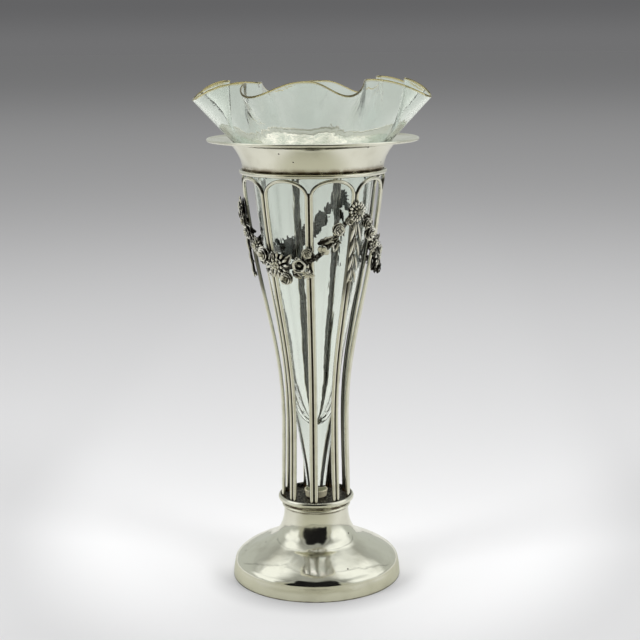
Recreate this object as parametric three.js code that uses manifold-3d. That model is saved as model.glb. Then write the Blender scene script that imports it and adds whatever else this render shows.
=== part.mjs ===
// Stem vase: a silver-plated wire cage on a domed foot, hung with cast floral swags,
// holding a clear glass liner with a crimped rim.
// Millimetres, +Z up, origin at the middle of the foot's underside, front towards -Y.
import * as THREE from 'three';
import { mergeVertices } from 'three/addons/utils/BufferGeometryUtils.js';
import Module from 'manifold-3d';

const wasm = await Module();
wasm.setup();

// Fits that several pieces share
const SOLDER_GAP = 0.3;
const SLIP_CLEARANCE = 0.3;

// Foot: an upright band, a domed top and a hollow neck, spun from one sheet
const FOOT_RADIUS = 36.45;
const FOOT_WALL = 0.9;
const BAND_HEIGHT = 6;
const BAND_LEAN = 0.75;
const DOME_RISE = 9.8;
const NECK_RADIUS = 13.9;
const NECK_FLARE = 7.26;
const NECK_RISE = 15.2;
const NECK_STRAIGHT = 0.9;

// Weight and cover under the foot
const PAD_THICKNESS = 1.2;
const PAD_RECESS = 0.4;

// Dish that the wires stand in
const DISH_HEIGHT = 5;
const DISH_DEPTH = 1.6;
const DISH_LIP_WALL = 1.2;
const DISH_BEAD = 0.5;
const SPIGOT_DEPTH = 2;

// Small cup that holds the tip of the glass
const SOCKET_HEIGHT = 3.4;
const SOCKET_FLOOR = 0.8;
const SOCKET_WALL = 0.65;

// Cage of hairpin wires, given at the middle of the wire
const POST_COUNT = 9;
const WIRE_DIAMETER = 1.4;
const LEG_GAP = 0.6;
const CAGE_HEIGHT = 141;
const CAGE_FOOT_RADIUS = 14.2;
const CAGE_WAIST_RADIUS = 13.4;
const CAGE_WAIST_RISE = 33.5;
const CAGE_TOP_RADIUS = 29.3;
const ARCH_RISE = 6;

// Ring on the arches
const RING_HEIGHT = 1.8;
const RING_PROUD = 0.85;

// Trumpet collar with its flat brim
const COLLAR_HEIGHT = 12.9;
const COLLAR_WALL = 0.9;
const COLLAR_LEDGE = 1.25;
const COLLAR_STRAIGHT = 1.6;
const FLARE_WIDTH = 6.6;
const FLARE_RISE = 10.2;
const BRIM_RADIUS = 44.15;
const BRIM_BEAD = 1.3;

// Glass liner
const LINER_GAP = 3.2;
const LINER_WALL = 1.4;
const LINER_TIP_RADIUS = 4.1;
const LINER_TIP_CHAMFER = 0.6;
const WELL_RISE = 33.1;
const STEM_RISE = 52;
const BOWL_SLANT = 28;
const SEAT_DEG = 45;
// Hand-made crimps, by turns folded out and pinched up: the angle from the front, how far the glass leans
// out there, and how far it reaches as a share of the slant
const CRIMPS = [
  { deg: 20, lean: 38, reach: 1.02 },
  { deg: 43.8, lean: -2, reach: 1.04 },
  { deg: 74, lean: 43.5, reach: 1.02 },
  { deg: 91.5, lean: 8, reach: 1.05 },
  { deg: 110.5, lean: 42, reach: 1.01 },
  { deg: 127.3, lean: -2, reach: 1.05 },
  { deg: 158, lean: 43, reach: 0.99 },
  { deg: 178.8, lean: -2, reach: 0.97 },
  { deg: 203, lean: 42, reach: 0.98 },
  { deg: 228, lean: -4, reach: 0.96 },
  { deg: 252, lean: 45, reach: 1.05 },
  { deg: 264.5, lean: 0, reach: 1.01 },
  { deg: 284, lean: 43, reach: 0.97 },
  { deg: 308.5, lean: -5, reach: 0.99 },
  { deg: 334, lean: 38, reach: 1.01 },
  { deg: 359.7, lean: -2, reach: 1.02 },
];

// Cast ornament soldered on the outside of the cage
const SWAG_COUNT = 3;
const FIRST_ROSETTE_DEG = 40;
const ROSETTE_RADIUS = 4;
const ROSETTE_HEIGHT = 2.4;
const ROSETTE_PETALS = 16;
const ROSETTE_DROP = 12.3;
const SWAG_DIP = 25.3;
const SWAG_LEAD = 1.8;
const SWAG_HALF_WIDTH = 2.5;
const SWAG_END_HALF_WIDTH = 1.1;
const SWAG_DEPTH = 2.2;
const HUSK_LENGTHS = [10.6, 9.8, 8.9, 8];
const HUSK_WIDTH = 4.8;
const HUSK_HEIGHT = 2;
const HUSK_OVERLAP = 0.8;

// Flowers, leaves and husks: how deep petals are notched, and how high their edges stand
const FLOWER_NOTCH = 0.78;
const FLOWER_EDGE = 0.6;
const ROSETTE_NOTCH = 0.84;
const ROSETTE_PETAL_HEIGHT = 1.7;
const ROSETTE_EYE_RADIUS = 1.7;
const LEAF_HEIGHT = 1.6;
const LEAF_EDGE = 0.5;
const HUSK_NOTCH = 0.25;
const HUSK_EDGE = 0.5;
const BUD_RADIUS = 1.1;
const BUD_HEIGHT = 1.4;
const BUD_SIDES = 8;

// Handles of the curved outlines, as shares of the way across and up from a curve's start to its end
const DOME_HANDLES = [[0.01, 0.34], [0.41, 0.61]];
const NECK_HANDLES = [[0.59, 0.133], [1, 0.457]];
const LOWER_CAGE_HANDLES = [[0, 0.3], [1, 0.6]];
const UPPER_CAGE_HANDLES = [[0, 0.345], [0.765, 0.67]];
const FLARE_HANDLES = [[0.14, 0.55], [0.36, 0.84]];
const THROAT_HANDLES = [[0.12, 0.33], [0.53, 0.76]];
const STEM_MIDDLE = [0.52, 0.5];
const CRIMP_START = 0.6;

// How finely round shapes are divided
const ROUND_STEPS = 36;
const SMALL_ROUND_STEPS = 18;
const CURVE_STEPS = 5;
const WIRE_SIDES = 6;
const LEG_STEPS = 9;
const ARCH_STEPS = 12;
const GLASS_STEPS = 48;
const BOWL_STEPS = 6;
const SWAG_STEPS = 14;
const SWAG_SIDES = 6;
const HALVINGS = 40;

// Levels and radii that follow from the sizes above
const domeTop = BAND_HEIGHT + DOME_RISE;
const neckTop = domeTop + NECK_RISE;
const dishTop = neckTop + DISH_HEIGHT;
const dishFloor = dishTop - DISH_DEPTH;
const cageTop = dishFloor + CAGE_HEIGHT;
const ringTop = cageTop + RING_HEIGHT;
const collarTop = ringTop + COLLAR_HEIGHT;
const wireRadius = WIRE_DIAMETER / 2;
const legOffset = (WIRE_DIAMETER + LEG_GAP) / 2;
const postAngle = (2 * Math.PI) / POST_COUNT;
const dishFloorRadius = CAGE_FOOT_RADIUS + wireRadius + SLIP_CLEARANCE;
const dishRadius = dishFloorRadius + DISH_LIP_WALL;
const ringRadius = CAGE_TOP_RADIUS + wireRadius + RING_PROUD;
const collarRadius = ringRadius - COLLAR_LEDGE;
const flareRadius = collarRadius + FLARE_WIDTH;
const socketInside = LINER_TIP_RADIUS + SLIP_CLEARANCE;
const socketTop = dishFloor + SOCKET_HEIGHT;
const spigotRadius = NECK_RADIUS - FOOT_WALL - SLIP_CLEARANCE;

const silver = { color: 0xd2cdbf, roughness: 0.18, metalness: 1 };
const castSilver = { color: 0xb4afa2, roughness: 0.34, metalness: 1 };
const oxidisedSilver = { color: 0x8c877c, roughness: 0.42, metalness: 1 };
const clearGlass = { color: 0xe9f0ec, roughness: 0.03, metalness: 0, transparent: true, opacity: 0.35 };
const plaster = { color: 0xd8d2c4, roughness: 0.95, metalness: 0 };
const baize = { color: 0x2f4a36, roughness: 1, metalness: 0 };

const vase = new THREE.Group();

function addPiece(name, geometry, finish) {
  const piece = new THREE.Mesh(geometry, new THREE.MeshStandardMaterial(finish));
  piece.name = name;
  vase.add(piece);
}

const at = (radius, height) => new THREE.Vector2(radius, height);
const radians = THREE.MathUtils.degToRad;
const mix = THREE.MathUtils.lerp;

// A place between two others, by shares of the way across and up
const between = (start, end, [across, up]) => at(mix(start.x, end.x, across), mix(start.y, end.y, up));

// A curved stretch of an outline
function bent(start, end, [first, second]) {
  return new THREE.CubicBezierCurve(start, between(start, end, first), between(start, end, second), end);
}

// The share of a curve at which a rising measure of it reaches a value, found by halving
function shareWhere(measure, value) {
  let low = 0;
  let high = 1;
  for (let i = 0; i < HALVINGS; i += 1) {
    const middle = (low + high) / 2;
    if (measure(middle) < value) low = middle;
    else high = middle;
  }
  return low;
}

// A turned piece: the outline holds (radius, height) points and is closed by its last point
function turned(outline, steps = ROUND_STEPS) {
  const geometry = new THREE.LatheGeometry(outline, steps).rotateX(Math.PI / 2);
  return facedOut(geometry);
}

// Points of an outline moved sideways by a wall, to the left of its direction
function offsetLine(points, wall) {
  return points.map((point, i) => {
    const before = points[Math.max(i - 1, 0)];
    const after = points[Math.min(i + 1, points.length - 1)];
    const along = after.clone().sub(before).normalize();
    return at(point.x - along.y * wall, point.y + along.x * wall);
  });
}

// The mesh with shared corners and every face pointing out
function facedOut(geometry) {
  geometry.deleteAttribute('normal');
  geometry.deleteAttribute('uv');
  const merged = mergeVertices(geometry, 1e-4);
  const position = merged.getAttribute('position');
  const index = merged.getIndex();
  const corners = [new THREE.Vector3(), new THREE.Vector3(), new THREE.Vector3()];
  const kept = [];
  let volume = 0;
  for (let i = 0; i < index.count; i += 3) {
    const ids = [index.getX(i), index.getX(i + 1), index.getX(i + 2)];
    if (new Set(ids).size < 3) continue;
    ids.forEach((id, k) => corners[k].fromBufferAttribute(position, id));
    volume += corners[0].dot(corners[1].clone().cross(corners[2])) / 6;
    kept.push(ids);
  }
  if (volume < 0) kept.forEach((ids) => ids.reverse());
  merged.setIndex(kept.flat());
  merged.computeVertexNormals();
  return merged;
}

// A closed skin over rings of points, with a fan to a middle point at each end
function lofted(rings, startMiddle, endMiddle) {
  const count = rings[0].length;
  const points = [...rings.flat(), startMiddle, endMiddle];
  const startId = points.length - 2;
  const endId = points.length - 1;
  const lastRow = (rings.length - 1) * count;
  const index = [];
  for (let k = 0; k < count; k += 1) {
    const next = (k + 1) % count;
    for (let row = 0; row < lastRow; row += count) {
      index.push(row + k, row + next, row + count + next);
      index.push(row + k, row + count + next, row + count + k);
    }
    index.push(startId, next, k);
    index.push(endId, lastRow + k, lastRow + next);
  }
  const geometry = new THREE.BufferGeometry().setFromPoints(points);
  geometry.setIndex(index);
  return facedOut(geometry);
}

function toSolid(geometry) {
  return new wasm.Manifold(new wasm.Mesh({
    numProp: 3,
    vertProperties: geometry.getAttribute('position').array,
    triVerts: new Uint32Array(geometry.getIndex().array),
  }));
}

// Several closed shapes joined into one
function joined(geometries) {
  const mesh = geometries.map(toSolid).reduce((whole, next) => whole.add(next)).getMesh();
  const geometry = new THREE.BufferGeometry();
  geometry.setAttribute('position', new THREE.BufferAttribute(mesh.vertProperties, 3));
  geometry.setIndex(new THREE.BufferAttribute(mesh.triVerts, 1));
  return facedOut(geometry);
}

// Foot, from the floor up: band, dome and neck
const bandTopRadius = FOOT_RADIUS - BAND_LEAN;
const domeEdge = NECK_RADIUS + NECK_FLARE;
const domeStart = at(bandTopRadius, BAND_HEIGHT);
const domeEnd = at(domeEdge, domeTop);
const neckEnd = at(NECK_RADIUS, neckTop - NECK_STRAIGHT);
const footOutside = [
  at(FOOT_RADIUS, 0),
  ...bent(domeStart, domeEnd, DOME_HANDLES).getPoints(CURVE_STEPS),
  ...bent(domeEnd, neckEnd, NECK_HANDLES).getPoints(CURVE_STEPS).slice(1),
  at(NECK_RADIUS, neckTop),
];

function innerFoot(wall) {
  const line = offsetLine(footOutside, wall);
  line[0].y = 0;
  line[line.length - 1].y = neckTop;
  return line;
}
const footInside = innerFoot(FOOT_WALL);
addPiece('foot_shell', turned([...footOutside, ...footInside.reverse(), footOutside[0]]), silver);

// Felt pad let into the underside, and the plaster weight between it and the dish
const padTop = PAD_RECESS + PAD_THICKNESS;
const loadingTop = neckTop - SPIGOT_DEPTH - SOLDER_GAP;
const loadingSide = innerFoot(FOOT_WALL + SLIP_CLEARANCE)
  .filter((point) => point.y > padTop && point.y < loadingTop);
const loadingFootRadius = loadingSide[0].x;
addPiece('foot_loading', turned([
  at(0, padTop),
  at(loadingFootRadius, padTop),
  ...loadingSide,
  at(spigotRadius, loadingTop),
  at(0, loadingTop),
]), plaster);
addPiece('base_pad', turned([
  at(0, PAD_RECESS),
  at(loadingFootRadius, PAD_RECESS),
  at(loadingFootRadius, padTop),
  at(0, padTop),
]), baize);

// Dish: a spigot in the neck, a bead, a cove and a rounded lip round a flat floor
const lipRadius = DISH_LIP_WALL / 2;
const beadTop = neckTop + 2 * DISH_BEAD;
const lipMiddle = dishTop - lipRadius;
const dishPath = new THREE.Path().moveTo(0, neckTop - SPIGOT_DEPTH);
dishPath.lineTo(spigotRadius, neckTop - SPIGOT_DEPTH);
dishPath.lineTo(spigotRadius, neckTop);
dishPath.lineTo(NECK_RADIUS, neckTop);
dishPath.lineTo(NECK_RADIUS + DISH_BEAD, neckTop + DISH_BEAD);
dishPath.lineTo(NECK_RADIUS, beadTop);
dishPath.quadraticCurveTo(NECK_RADIUS, lipMiddle - lipRadius, dishRadius, lipMiddle);
dishPath.absarc(dishRadius - lipRadius, lipMiddle, lipRadius, 0, Math.PI);
dishPath.lineTo(dishFloorRadius, dishFloor);
dishPath.lineTo(0, dishFloor);
addPiece('base_dish', turned(dishPath.getPoints(2)), oxidisedSilver);

// Cup for the tip of the glass
addPiece('glass_socket', turned([
  at(0, dishFloor),
  at(socketInside, dishFloor),
  at(socketInside + SOCKET_WALL, dishFloor + SOCKET_FLOOR),
  at(socketInside + SOCKET_WALL, socketTop),
  at(socketInside, socketTop),
  at(socketInside, dishFloor + SOCKET_FLOOR),
  at(0, dishFloor + SOCKET_FLOOR),
], SMALL_ROUND_STEPS), silver);

// Side view of the cage: drawn in to the waist, then opening to the ring
const waist = at(CAGE_WAIST_RADIUS, dishFloor + CAGE_WAIST_RISE);
const lowerCage = bent(at(CAGE_FOOT_RADIUS, dishFloor), waist, LOWER_CAGE_HANDLES);
const upperCage = bent(waist, at(CAGE_TOP_RADIUS, cageTop), UPPER_CAGE_HANDLES);

function cageRadius(height) {
  const curve = height < waist.y ? lowerCage : upperCage;
  return curve.getPoint(shareWhere((share) => curve.getPoint(share).y, height)).x;
}

// A place round the vase, at an angle from the front
function onVase(radius, angle, height) {
  return new THREE.Vector3(radius * Math.sin(angle), -radius * Math.cos(angle), height);
}

// Hairpin wire: up one post, over an arch and down the next post
const archTop = cageTop - SOLDER_GAP - wireRadius;
const archSpring = archTop - ARCH_RISE;
const legFoot = dishFloor + SOLDER_GAP;
const hairpinSteps = 2 * LEG_STEPS + ARCH_STEPS;

class HairpinPath extends THREE.Curve {
  constructor(firstPost) {
    super();
    this.firstPost = firstPost;
  }

  getUtoTmapping(u, distance) {
    return distance === undefined ? u : distance / this.getLength();
  }

  getPoint(t) {
    const step = t * hairpinSteps;
    const side = step < hairpinSteps / 2 ? 0 : 1;
    const fromEnd = Math.min(step, hairpinSteps - step);
    if (fromEnd < LEG_STEPS) return this.onLeg(side, mix(legFoot, archSpring, fromEnd / LEG_STEPS));
    const turn = (Math.PI * (step - LEG_STEPS)) / ARCH_STEPS;
    const height = archSpring + ARCH_RISE * Math.sin(turn);
    const radius = cageRadius(height);
    const half = postAngle / 2 - Math.asin(legOffset / radius);
    const angle = (this.firstPost + 0.5) * postAngle - half * Math.cos(turn);
    return onVase(radius, angle, height);
  }

  onLeg(side, height) {
    const radius = cageRadius(height);
    const lean = Math.asin(legOffset / radius);
    const angle = (this.firstPost + side) * postAngle + (side === 0 ? lean : -lean);
    return onVase(radius, angle, height);
  }
}

const wireSection = new THREE.Shape(
  Array.from({ length: WIRE_SIDES }, (_, k) => {
    const angle = (2 * Math.PI * k) / WIRE_SIDES;
    return at(wireRadius * Math.cos(angle), wireRadius * Math.sin(angle));
  }),
);
for (let post = 0; post < POST_COUNT; post += 1) {
  const wire = new THREE.ExtrudeGeometry(wireSection, {
    steps: hairpinSteps,
    bevelEnabled: false,
    extrudePath: new HairpinPath(post),
  });
  addPiece(`arch_wire_${post + 1}`, facedOut(wire), silver);
}

// Ring that ties the arches together
const ringInside = CAGE_TOP_RADIUS - wireRadius - SLIP_CLEARANCE;
addPiece('upper_ring', turned([
  at(ringInside, cageTop),
  at(ringRadius - RING_PROUD / 2, cageTop),
  at(ringRadius, (cageTop + ringTop) / 2),
  at(ringRadius - RING_PROUD / 2, ringTop),
  at(ringInside, ringTop),
  at(ringInside, cageTop),
]), silver);

// Collar: a short upright wall that flares like a trumpet into a thin brim with a rolled edge
const flareTop = ringTop + FLARE_RISE;
const beadRadius = BRIM_BEAD / 2;
const flare = bent(at(collarRadius, ringTop + COLLAR_STRAIGHT), at(flareRadius, flareTop), FLARE_HANDLES);
const collarOutside = [
  at(collarRadius, ringTop),
  ...flare.getPoints(CURVE_STEPS + 1),
  at(BRIM_RADIUS - BRIM_BEAD, collarTop - BRIM_BEAD),
];
const collarInside = offsetLine(collarOutside, COLLAR_WALL);
collarInside[0].y = ringTop;
const beadPath = new THREE.Path();
beadPath.absarc(BRIM_RADIUS - beadRadius, collarTop - beadRadius, beadRadius, -Math.PI / 2, Math.PI / 2);
addPiece('collar', turned([
  ...collarOutside,
  ...beadPath.getPoints(2),
  ...collarInside.reverse(),
  collarOutside[0],
]), silver);

// Glass liner: a solid stem, a long flute that follows the cage, and a bowl crimped by hand
const tipFoot = dishFloor + SOCKET_FLOOR + SOLDER_GAP;
const tipTop = socketTop + SLIP_CLEARANCE;
const stemTop = dishFloor + STEM_RISE;
const wellFoot = dishFloor + WELL_RISE;
const fluteRadius = (height) => cageRadius(height) - wireRadius - LINER_GAP;

// The glass sits where the inside of the collar's flare leans at the seat angle
const seatLean = radians(SEAT_DEG);
function flareLean(share) {
  const along = flare.getTangent(share);
  return Math.atan2(along.x, along.y);
}
function flareSeat() {
  const reach = COLLAR_WALL + SLIP_CLEARANCE;
  const outside = flare.getPoint(shareWhere(flareLean, seatLean));
  return at(outside.x - reach * Math.cos(seatLean), outside.y + reach * Math.sin(seatLean));
}
const bowlBase = flareSeat();

// Lean and slant of the bowl's rim at an angle, eased from each crimp to the next
function crimpAt(angle) {
  const turn = 360;
  const degrees = THREE.MathUtils.euclideanModulo(THREE.MathUtils.radToDeg(angle), turn);
  const first = CRIMPS[0];
  const last = CRIMPS[CRIMPS.length - 1];
  const marks = [{ ...last, deg: last.deg - turn }, ...CRIMPS, { ...first, deg: first.deg + turn }];
  const after = marks.findIndex((mark) => mark.deg > degrees);
  const from = marks[after - 1];
  const to = marks[after];
  const share = (1 - Math.cos((Math.PI * (degrees - from.deg)) / (to.deg - from.deg))) / 2;
  return {
    endLean: radians(mix(from.lean, to.lean, share)),
    slant: BOWL_SLANT * mix(from.reach, to.reach, share),
  };
}

// Outside of the bowl from its base to the rim at one angle, with the lean at each point
function bowlLine(angle) {
  const { endLean, slant } = crimpAt(angle);
  const line = [];
  const place = bowlBase.clone();
  for (let step = 1; step <= BOWL_STEPS; step += 1) {
    const lean = mix(seatLean, endLean, THREE.MathUtils.smoothstep(step / BOWL_STEPS, 0, CRIMP_START));
    place.x += (slant / BOWL_STEPS) * Math.sin(lean);
    place.y += (slant / BOWL_STEPS) * Math.cos(lean);
    line.push({ place: place.clone(), lean });
  }
  return line;
}

const fluteHeights = Array.from({ length: CURVE_STEPS + 1 }, (_, k) => mix(stemTop, cageTop, k / CURVE_STEPS));
const flute = fluteHeights.map((height) => at(fluteRadius(height), height));
const fluteTop = flute[flute.length - 1];
const throat = bent(fluteTop, bowlBase, THROAT_HANDLES).getPoints(CURVE_STEPS - 1).slice(1);
const stem = [
  at(LINER_TIP_RADIUS - LINER_TIP_CHAMFER, tipFoot),
  at(LINER_TIP_RADIUS, tipFoot + LINER_TIP_CHAMFER),
  at(LINER_TIP_RADIUS, tipTop),
  between(at(LINER_TIP_RADIUS, tipTop), flute[0], STEM_MIDDLE),
];
const glassOutside = [...stem, ...flute, ...throat];

// Inside of the glass: the outer line moved in by the wall, then a well that narrows to a round bottom,
// rising with the square of its radius
const bodyInside = offsetLine([...flute, ...throat], LINER_WALL).reverse();
const wellTop = bodyInside[bodyInside.length - 1];
const wellBottom = [0.75, 0.5, 0.25].map((share) => (
  at(wellTop.x * share, mix(wellFoot, wellTop.y, share * share))
));
const glassInside = [...bodyInside, ...wellBottom];

function glassMeridian(angle) {
  const bowl = bowlLine(angle);
  const bowlInside = bowl.map(({ place, lean }) => (
    at(place.x - LINER_WALL * Math.cos(lean), place.y + LINER_WALL * Math.sin(lean))
  ));
  const rim = bowl[bowl.length - 1];
  const lip = at(
    rim.place.x + (LINER_WALL / 2) * (Math.sin(rim.lean) - Math.cos(rim.lean)),
    rim.place.y + (LINER_WALL / 2) * (Math.cos(rim.lean) + Math.sin(rim.lean)),
  );
  return [...glassOutside, ...bowl.map(({ place }) => place), lip, ...bowlInside.reverse(), ...glassInside];
}

const meridians = Array.from({ length: GLASS_STEPS }, (_, k) => {
  const angle = (2 * Math.PI * k) / GLASS_STEPS;
  return glassMeridian(angle).map((point) => onVase(point.x, angle, point.y));
});
const glassRings = meridians[0].map((_, row) => meridians.map((meridian) => meridian[row]));
addPiece('glass_liner', lofted(
  glassRings,
  new THREE.Vector3(0, 0, tipFoot),
  new THREE.Vector3(0, 0, wellFoot),
), clearGlass);

// A place on the outside of the wires, with its own sideways, upward and outward directions
function onCage(angle, height, turn = 0) {
  const reach = wireRadius + SOLDER_GAP;
  const place = onVase(cageRadius(height) + reach, angle, height);
  const below = onVase(cageRadius(height - 1) + reach, angle, height - 1);
  const upward = place.clone().sub(below).normalize();
  const sideways = new THREE.Vector3(Math.cos(angle), Math.sin(angle), 0);
  const outward = sideways.clone().cross(upward);
  const frame = new THREE.Matrix4().makeBasis(sideways, upward, outward).setPosition(place);
  return frame.multiply(new THREE.Matrix4().makeRotationZ(turn));
}

// A cast boss: a flat outline with an upright edge, rising to a point in the middle
function boss(outline, height, edge) {
  const ring = (level) => outline.map((p) => new THREE.Vector3(p.x, p.y, level));
  return lofted([ring(0), ring(edge * height)], new THREE.Vector3(0, 0, 0), new THREE.Vector3(0, 0, height));
}

// Outlines of flowers, leaves, husks and buds
function petalled(radius, petals, notch) {
  return Array.from({ length: 2 * petals }, (_, k) => {
    const angle = (Math.PI * k) / petals;
    const reach = radius * (k % 2 === 0 ? 1 : notch);
    return at(reach * Math.cos(angle), reach * Math.sin(angle));
  });
}

function leafOutline(length, width) {
  return [at(0, -length / 2), at(width / 2, -0.1 * length), at(0, length / 2), at(-width / 2, -0.1 * length)];
}

function budOutline(radius, sides) {
  return petalled(radius, sides / 2, 1);
}

function huskOutline(length, width) {
  const half = [[0.1, 0.5], [0.3, 0.15], [0.5, -0.3], [0.3, -0.5]];
  const right = half.map(([x, y]) => at(x * width, y * length));
  const left = half.map(([x, y]) => at(-x * width, y * length)).reverse();
  return [...right, at(0, (HUSK_NOTCH - 0.5) * length), ...left];
}

// Rosettes where two swags meet, and the drop of husks that hangs from each
const rosetteHeight = cageTop - ROSETTE_DROP;
const rosetteAngles = Array.from({ length: SWAG_COUNT }, (_, k) => (
  radians(FIRST_ROSETTE_DEG) + (2 * Math.PI * k) / SWAG_COUNT
));
rosetteAngles.forEach((angle, k) => {
  const seat = onCage(angle, rosetteHeight);
  const outline = petalled(ROSETTE_RADIUS, ROSETTE_PETALS, ROSETTE_NOTCH);
  const petals = boss(outline, ROSETTE_PETAL_HEIGHT, FLOWER_EDGE);
  const eye = boss(budOutline(ROSETTE_EYE_RADIUS, BUD_SIDES), ROSETTE_HEIGHT, ROSETTE_NOTCH);
  addPiece(`rosette_${k + 1}`, joined([petals, eye]).applyMatrix4(seat), castSilver);
});

const dropTop = rosetteHeight - ROSETTE_RADIUS - SOLDER_GAP;
rosetteAngles.forEach((angle, k) => {
  const husks = [];
  let top = dropTop;
  HUSK_LENGTHS.forEach((length) => {
    const share = length / HUSK_LENGTHS[0];
    const outline = huskOutline(length, HUSK_WIDTH * share);
    const husk = boss(outline, HUSK_HEIGHT * share, HUSK_EDGE);
    husks.push(husk.applyMatrix4(onCage(angle, top - length / 2)));
    top -= (1 - HUSK_NOTCH) * length - HUSK_OVERLAP;
  });
  const bud = boss(budOutline(BUD_RADIUS, BUD_SIDES), BUD_HEIGHT, HUSK_EDGE);
  husks.push(bud.applyMatrix4(onCage(angle, top)));
  addPiece(`husk_drop_${k + 1}`, joined(husks), castSilver);
});

// Swags: a tapered festoon with flowers and leaves along it.
// Along runs from -1 at the left rosette to 1 at the right one, and across is upward in mm.
const SWAG_FLOWERS = [
  { along: -0.16, across: 0.3, radius: 4.5, petals: 8, height: 3.4 },
  { along: 0.01, across: -4.2, radius: 2.7, petals: 5, height: 3.1 },
  { along: 0.24, across: 0, radius: 3.4, petals: 6, height: 3.5 },
  { along: 0.39, across: -3.4, radius: 2.8, petals: 5, height: 2.8 },
  { along: 0.37, across: 2.2, radius: 2.4, petals: 5, height: 3 },
  { along: 0.55, across: 0, radius: 2.6, petals: 5, height: 3 },
  { along: 0.73, across: 0.8, radius: 2.5, petals: 6, height: 2.9 },
  { along: -0.4, across: -0.4, radius: 3.5, petals: 6, height: 3.4 },
  { along: -0.58, across: 0.4, radius: 2.8, petals: 7, height: 2.9 },
  { along: -0.75, across: -0.2, radius: 2.3, petals: 5, height: 2.7 },
];
const SWAG_LEAVES = [
  { along: 0.04, across: 4.1, length: 6, width: 3.2, turn: 20 },
  { along: 0.62, across: 3, length: 5, width: 2.8, turn: -50 },
  { along: 0.66, across: -2.6, length: 5.4, width: 2.8, turn: 120 },
  { along: -0.32, across: -4, length: 5.6, width: 3, turn: 200 },
  { along: -0.5, across: 3, length: 5.2, width: 2.8, turn: 40 },
  { along: -0.68, across: -2.5, length: 4.8, width: 2.6, turn: 230 },
];

const swagHalfAngle = Math.PI / SWAG_COUNT;
const swagLow = rosetteHeight + SWAG_LEAD - SWAG_DIP;
const swagHeight = (along) => swagLow + SWAG_DIP * along * along;

// The festoon stops a solder gap short of the rosettes that it hangs from
function swagEnd() {
  const reach = ROSETTE_RADIUS + SOLDER_GAP + SWAG_END_HALF_WIDTH;
  const away = (share) => Math.hypot(
    share * swagHalfAngle * cageRadius(rosetteHeight),
    swagHeight(1 - share) - rosetteHeight,
  );
  return 1 - shareWhere(away, reach);
}
const festoonEnd = swagEnd();

function onSwag(middle, along, across, turn = 0) {
  return onCage(middle + along * swagHalfAngle, swagHeight(along) + across, turn);
}

function festoon(middle) {
  const rings = [];
  const middles = [];
  for (let step = 0; step <= SWAG_STEPS; step += 1) {
    const along = festoonEnd * ((2 * step) / SWAG_STEPS - 1);
    const slope = Math.atan2(2 * SWAG_DIP * along, swagHalfAngle * cageRadius(swagHeight(along)));
    const seat = onSwag(middle, along, 0, slope);
    const halfWidth = mix(SWAG_HALF_WIDTH, SWAG_END_HALF_WIDTH, along * along);
    const halfDepth = (SWAG_DEPTH * halfWidth) / SWAG_HALF_WIDTH / 2;
    middles.push(new THREE.Vector3(0, 0, halfDepth).applyMatrix4(seat));
    rings.push(Array.from({ length: SWAG_SIDES }, (_, k) => {
      const angle = (2 * Math.PI * k) / SWAG_SIDES;
      const point = new THREE.Vector3(0, halfWidth * Math.cos(angle), halfDepth * (1 + Math.sin(angle)));
      return point.applyMatrix4(seat);
    }));
  }
  return lofted(rings, middles[0], middles[middles.length - 1]);
}

rosetteAngles.forEach((angle, k) => {
  const middle = angle - swagHalfAngle;
  const pieces = [festoon(middle)];
  SWAG_FLOWERS.forEach(({ along, across, radius, petals, height }) => {
    const flower = boss(petalled(radius, petals, FLOWER_NOTCH), height, FLOWER_EDGE);
    pieces.push(flower.applyMatrix4(onSwag(middle, along, across)));
  });
  SWAG_LEAVES.forEach(({ along, across, length, width, turn }) => {
    const leaf = boss(leafOutline(length, width), LEAF_HEIGHT, LEAF_EDGE);
    pieces.push(leaf.applyMatrix4(onSwag(middle, along, across, radians(turn))));
  });
  addPiece(`swag_${k + 1}`, joined(pieces), castSilver);
});

export default vase;
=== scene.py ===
# %% [markdown]
# # A wire-cage stem vase
#
# The object is an antique flower vase: a silver-plated cage of hairpin wires on a domed foot, hung with
# cast swags of flowers, and a loose clear glass liner with a crimped rim that stands inside it.
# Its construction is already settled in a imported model, which holds every size and every joint.
# This lesson loads that model as a fixed frame, makes a finer piece over each of its solids, and lights
# the result in a plain studio.

# %% Load the frame
import math

import bpy
import numpy as np
from mathutils import Euler, Matrix, Vector


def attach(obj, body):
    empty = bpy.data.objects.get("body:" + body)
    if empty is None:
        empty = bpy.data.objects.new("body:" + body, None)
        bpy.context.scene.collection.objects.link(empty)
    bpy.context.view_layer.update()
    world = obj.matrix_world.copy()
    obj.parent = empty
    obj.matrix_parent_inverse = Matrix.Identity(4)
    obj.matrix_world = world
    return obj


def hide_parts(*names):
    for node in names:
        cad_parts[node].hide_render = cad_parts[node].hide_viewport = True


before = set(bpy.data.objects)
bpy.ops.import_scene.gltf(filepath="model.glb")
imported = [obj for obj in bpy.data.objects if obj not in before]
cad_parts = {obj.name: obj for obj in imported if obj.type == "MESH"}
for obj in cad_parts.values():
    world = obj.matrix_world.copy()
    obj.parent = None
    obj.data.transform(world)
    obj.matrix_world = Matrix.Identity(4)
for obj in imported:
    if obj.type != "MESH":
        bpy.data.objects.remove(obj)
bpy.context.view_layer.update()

# %% [markdown]
# ## Millimetres in, metres out
#
# Blender works in metres, but a vase maker thinks in millimetres. Every size in this file is therefore
# written in millimetres, and `plain_mesh` turns points into metres as it makes a mesh from them.
# `dressed` is the last thing done to a piece: it sets it on the body it moves with and hides the frame's
# solids that it stands for.

# %% Meshes from points
MM = 0.001


def plain_mesh(name, points, faces=(), edges=()):
    mesh = bpy.data.meshes.new(name)
    mesh.from_pydata((np.asarray(points, float) * MM).tolist(), edges, faces)
    mesh.update()
    return mesh


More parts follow.
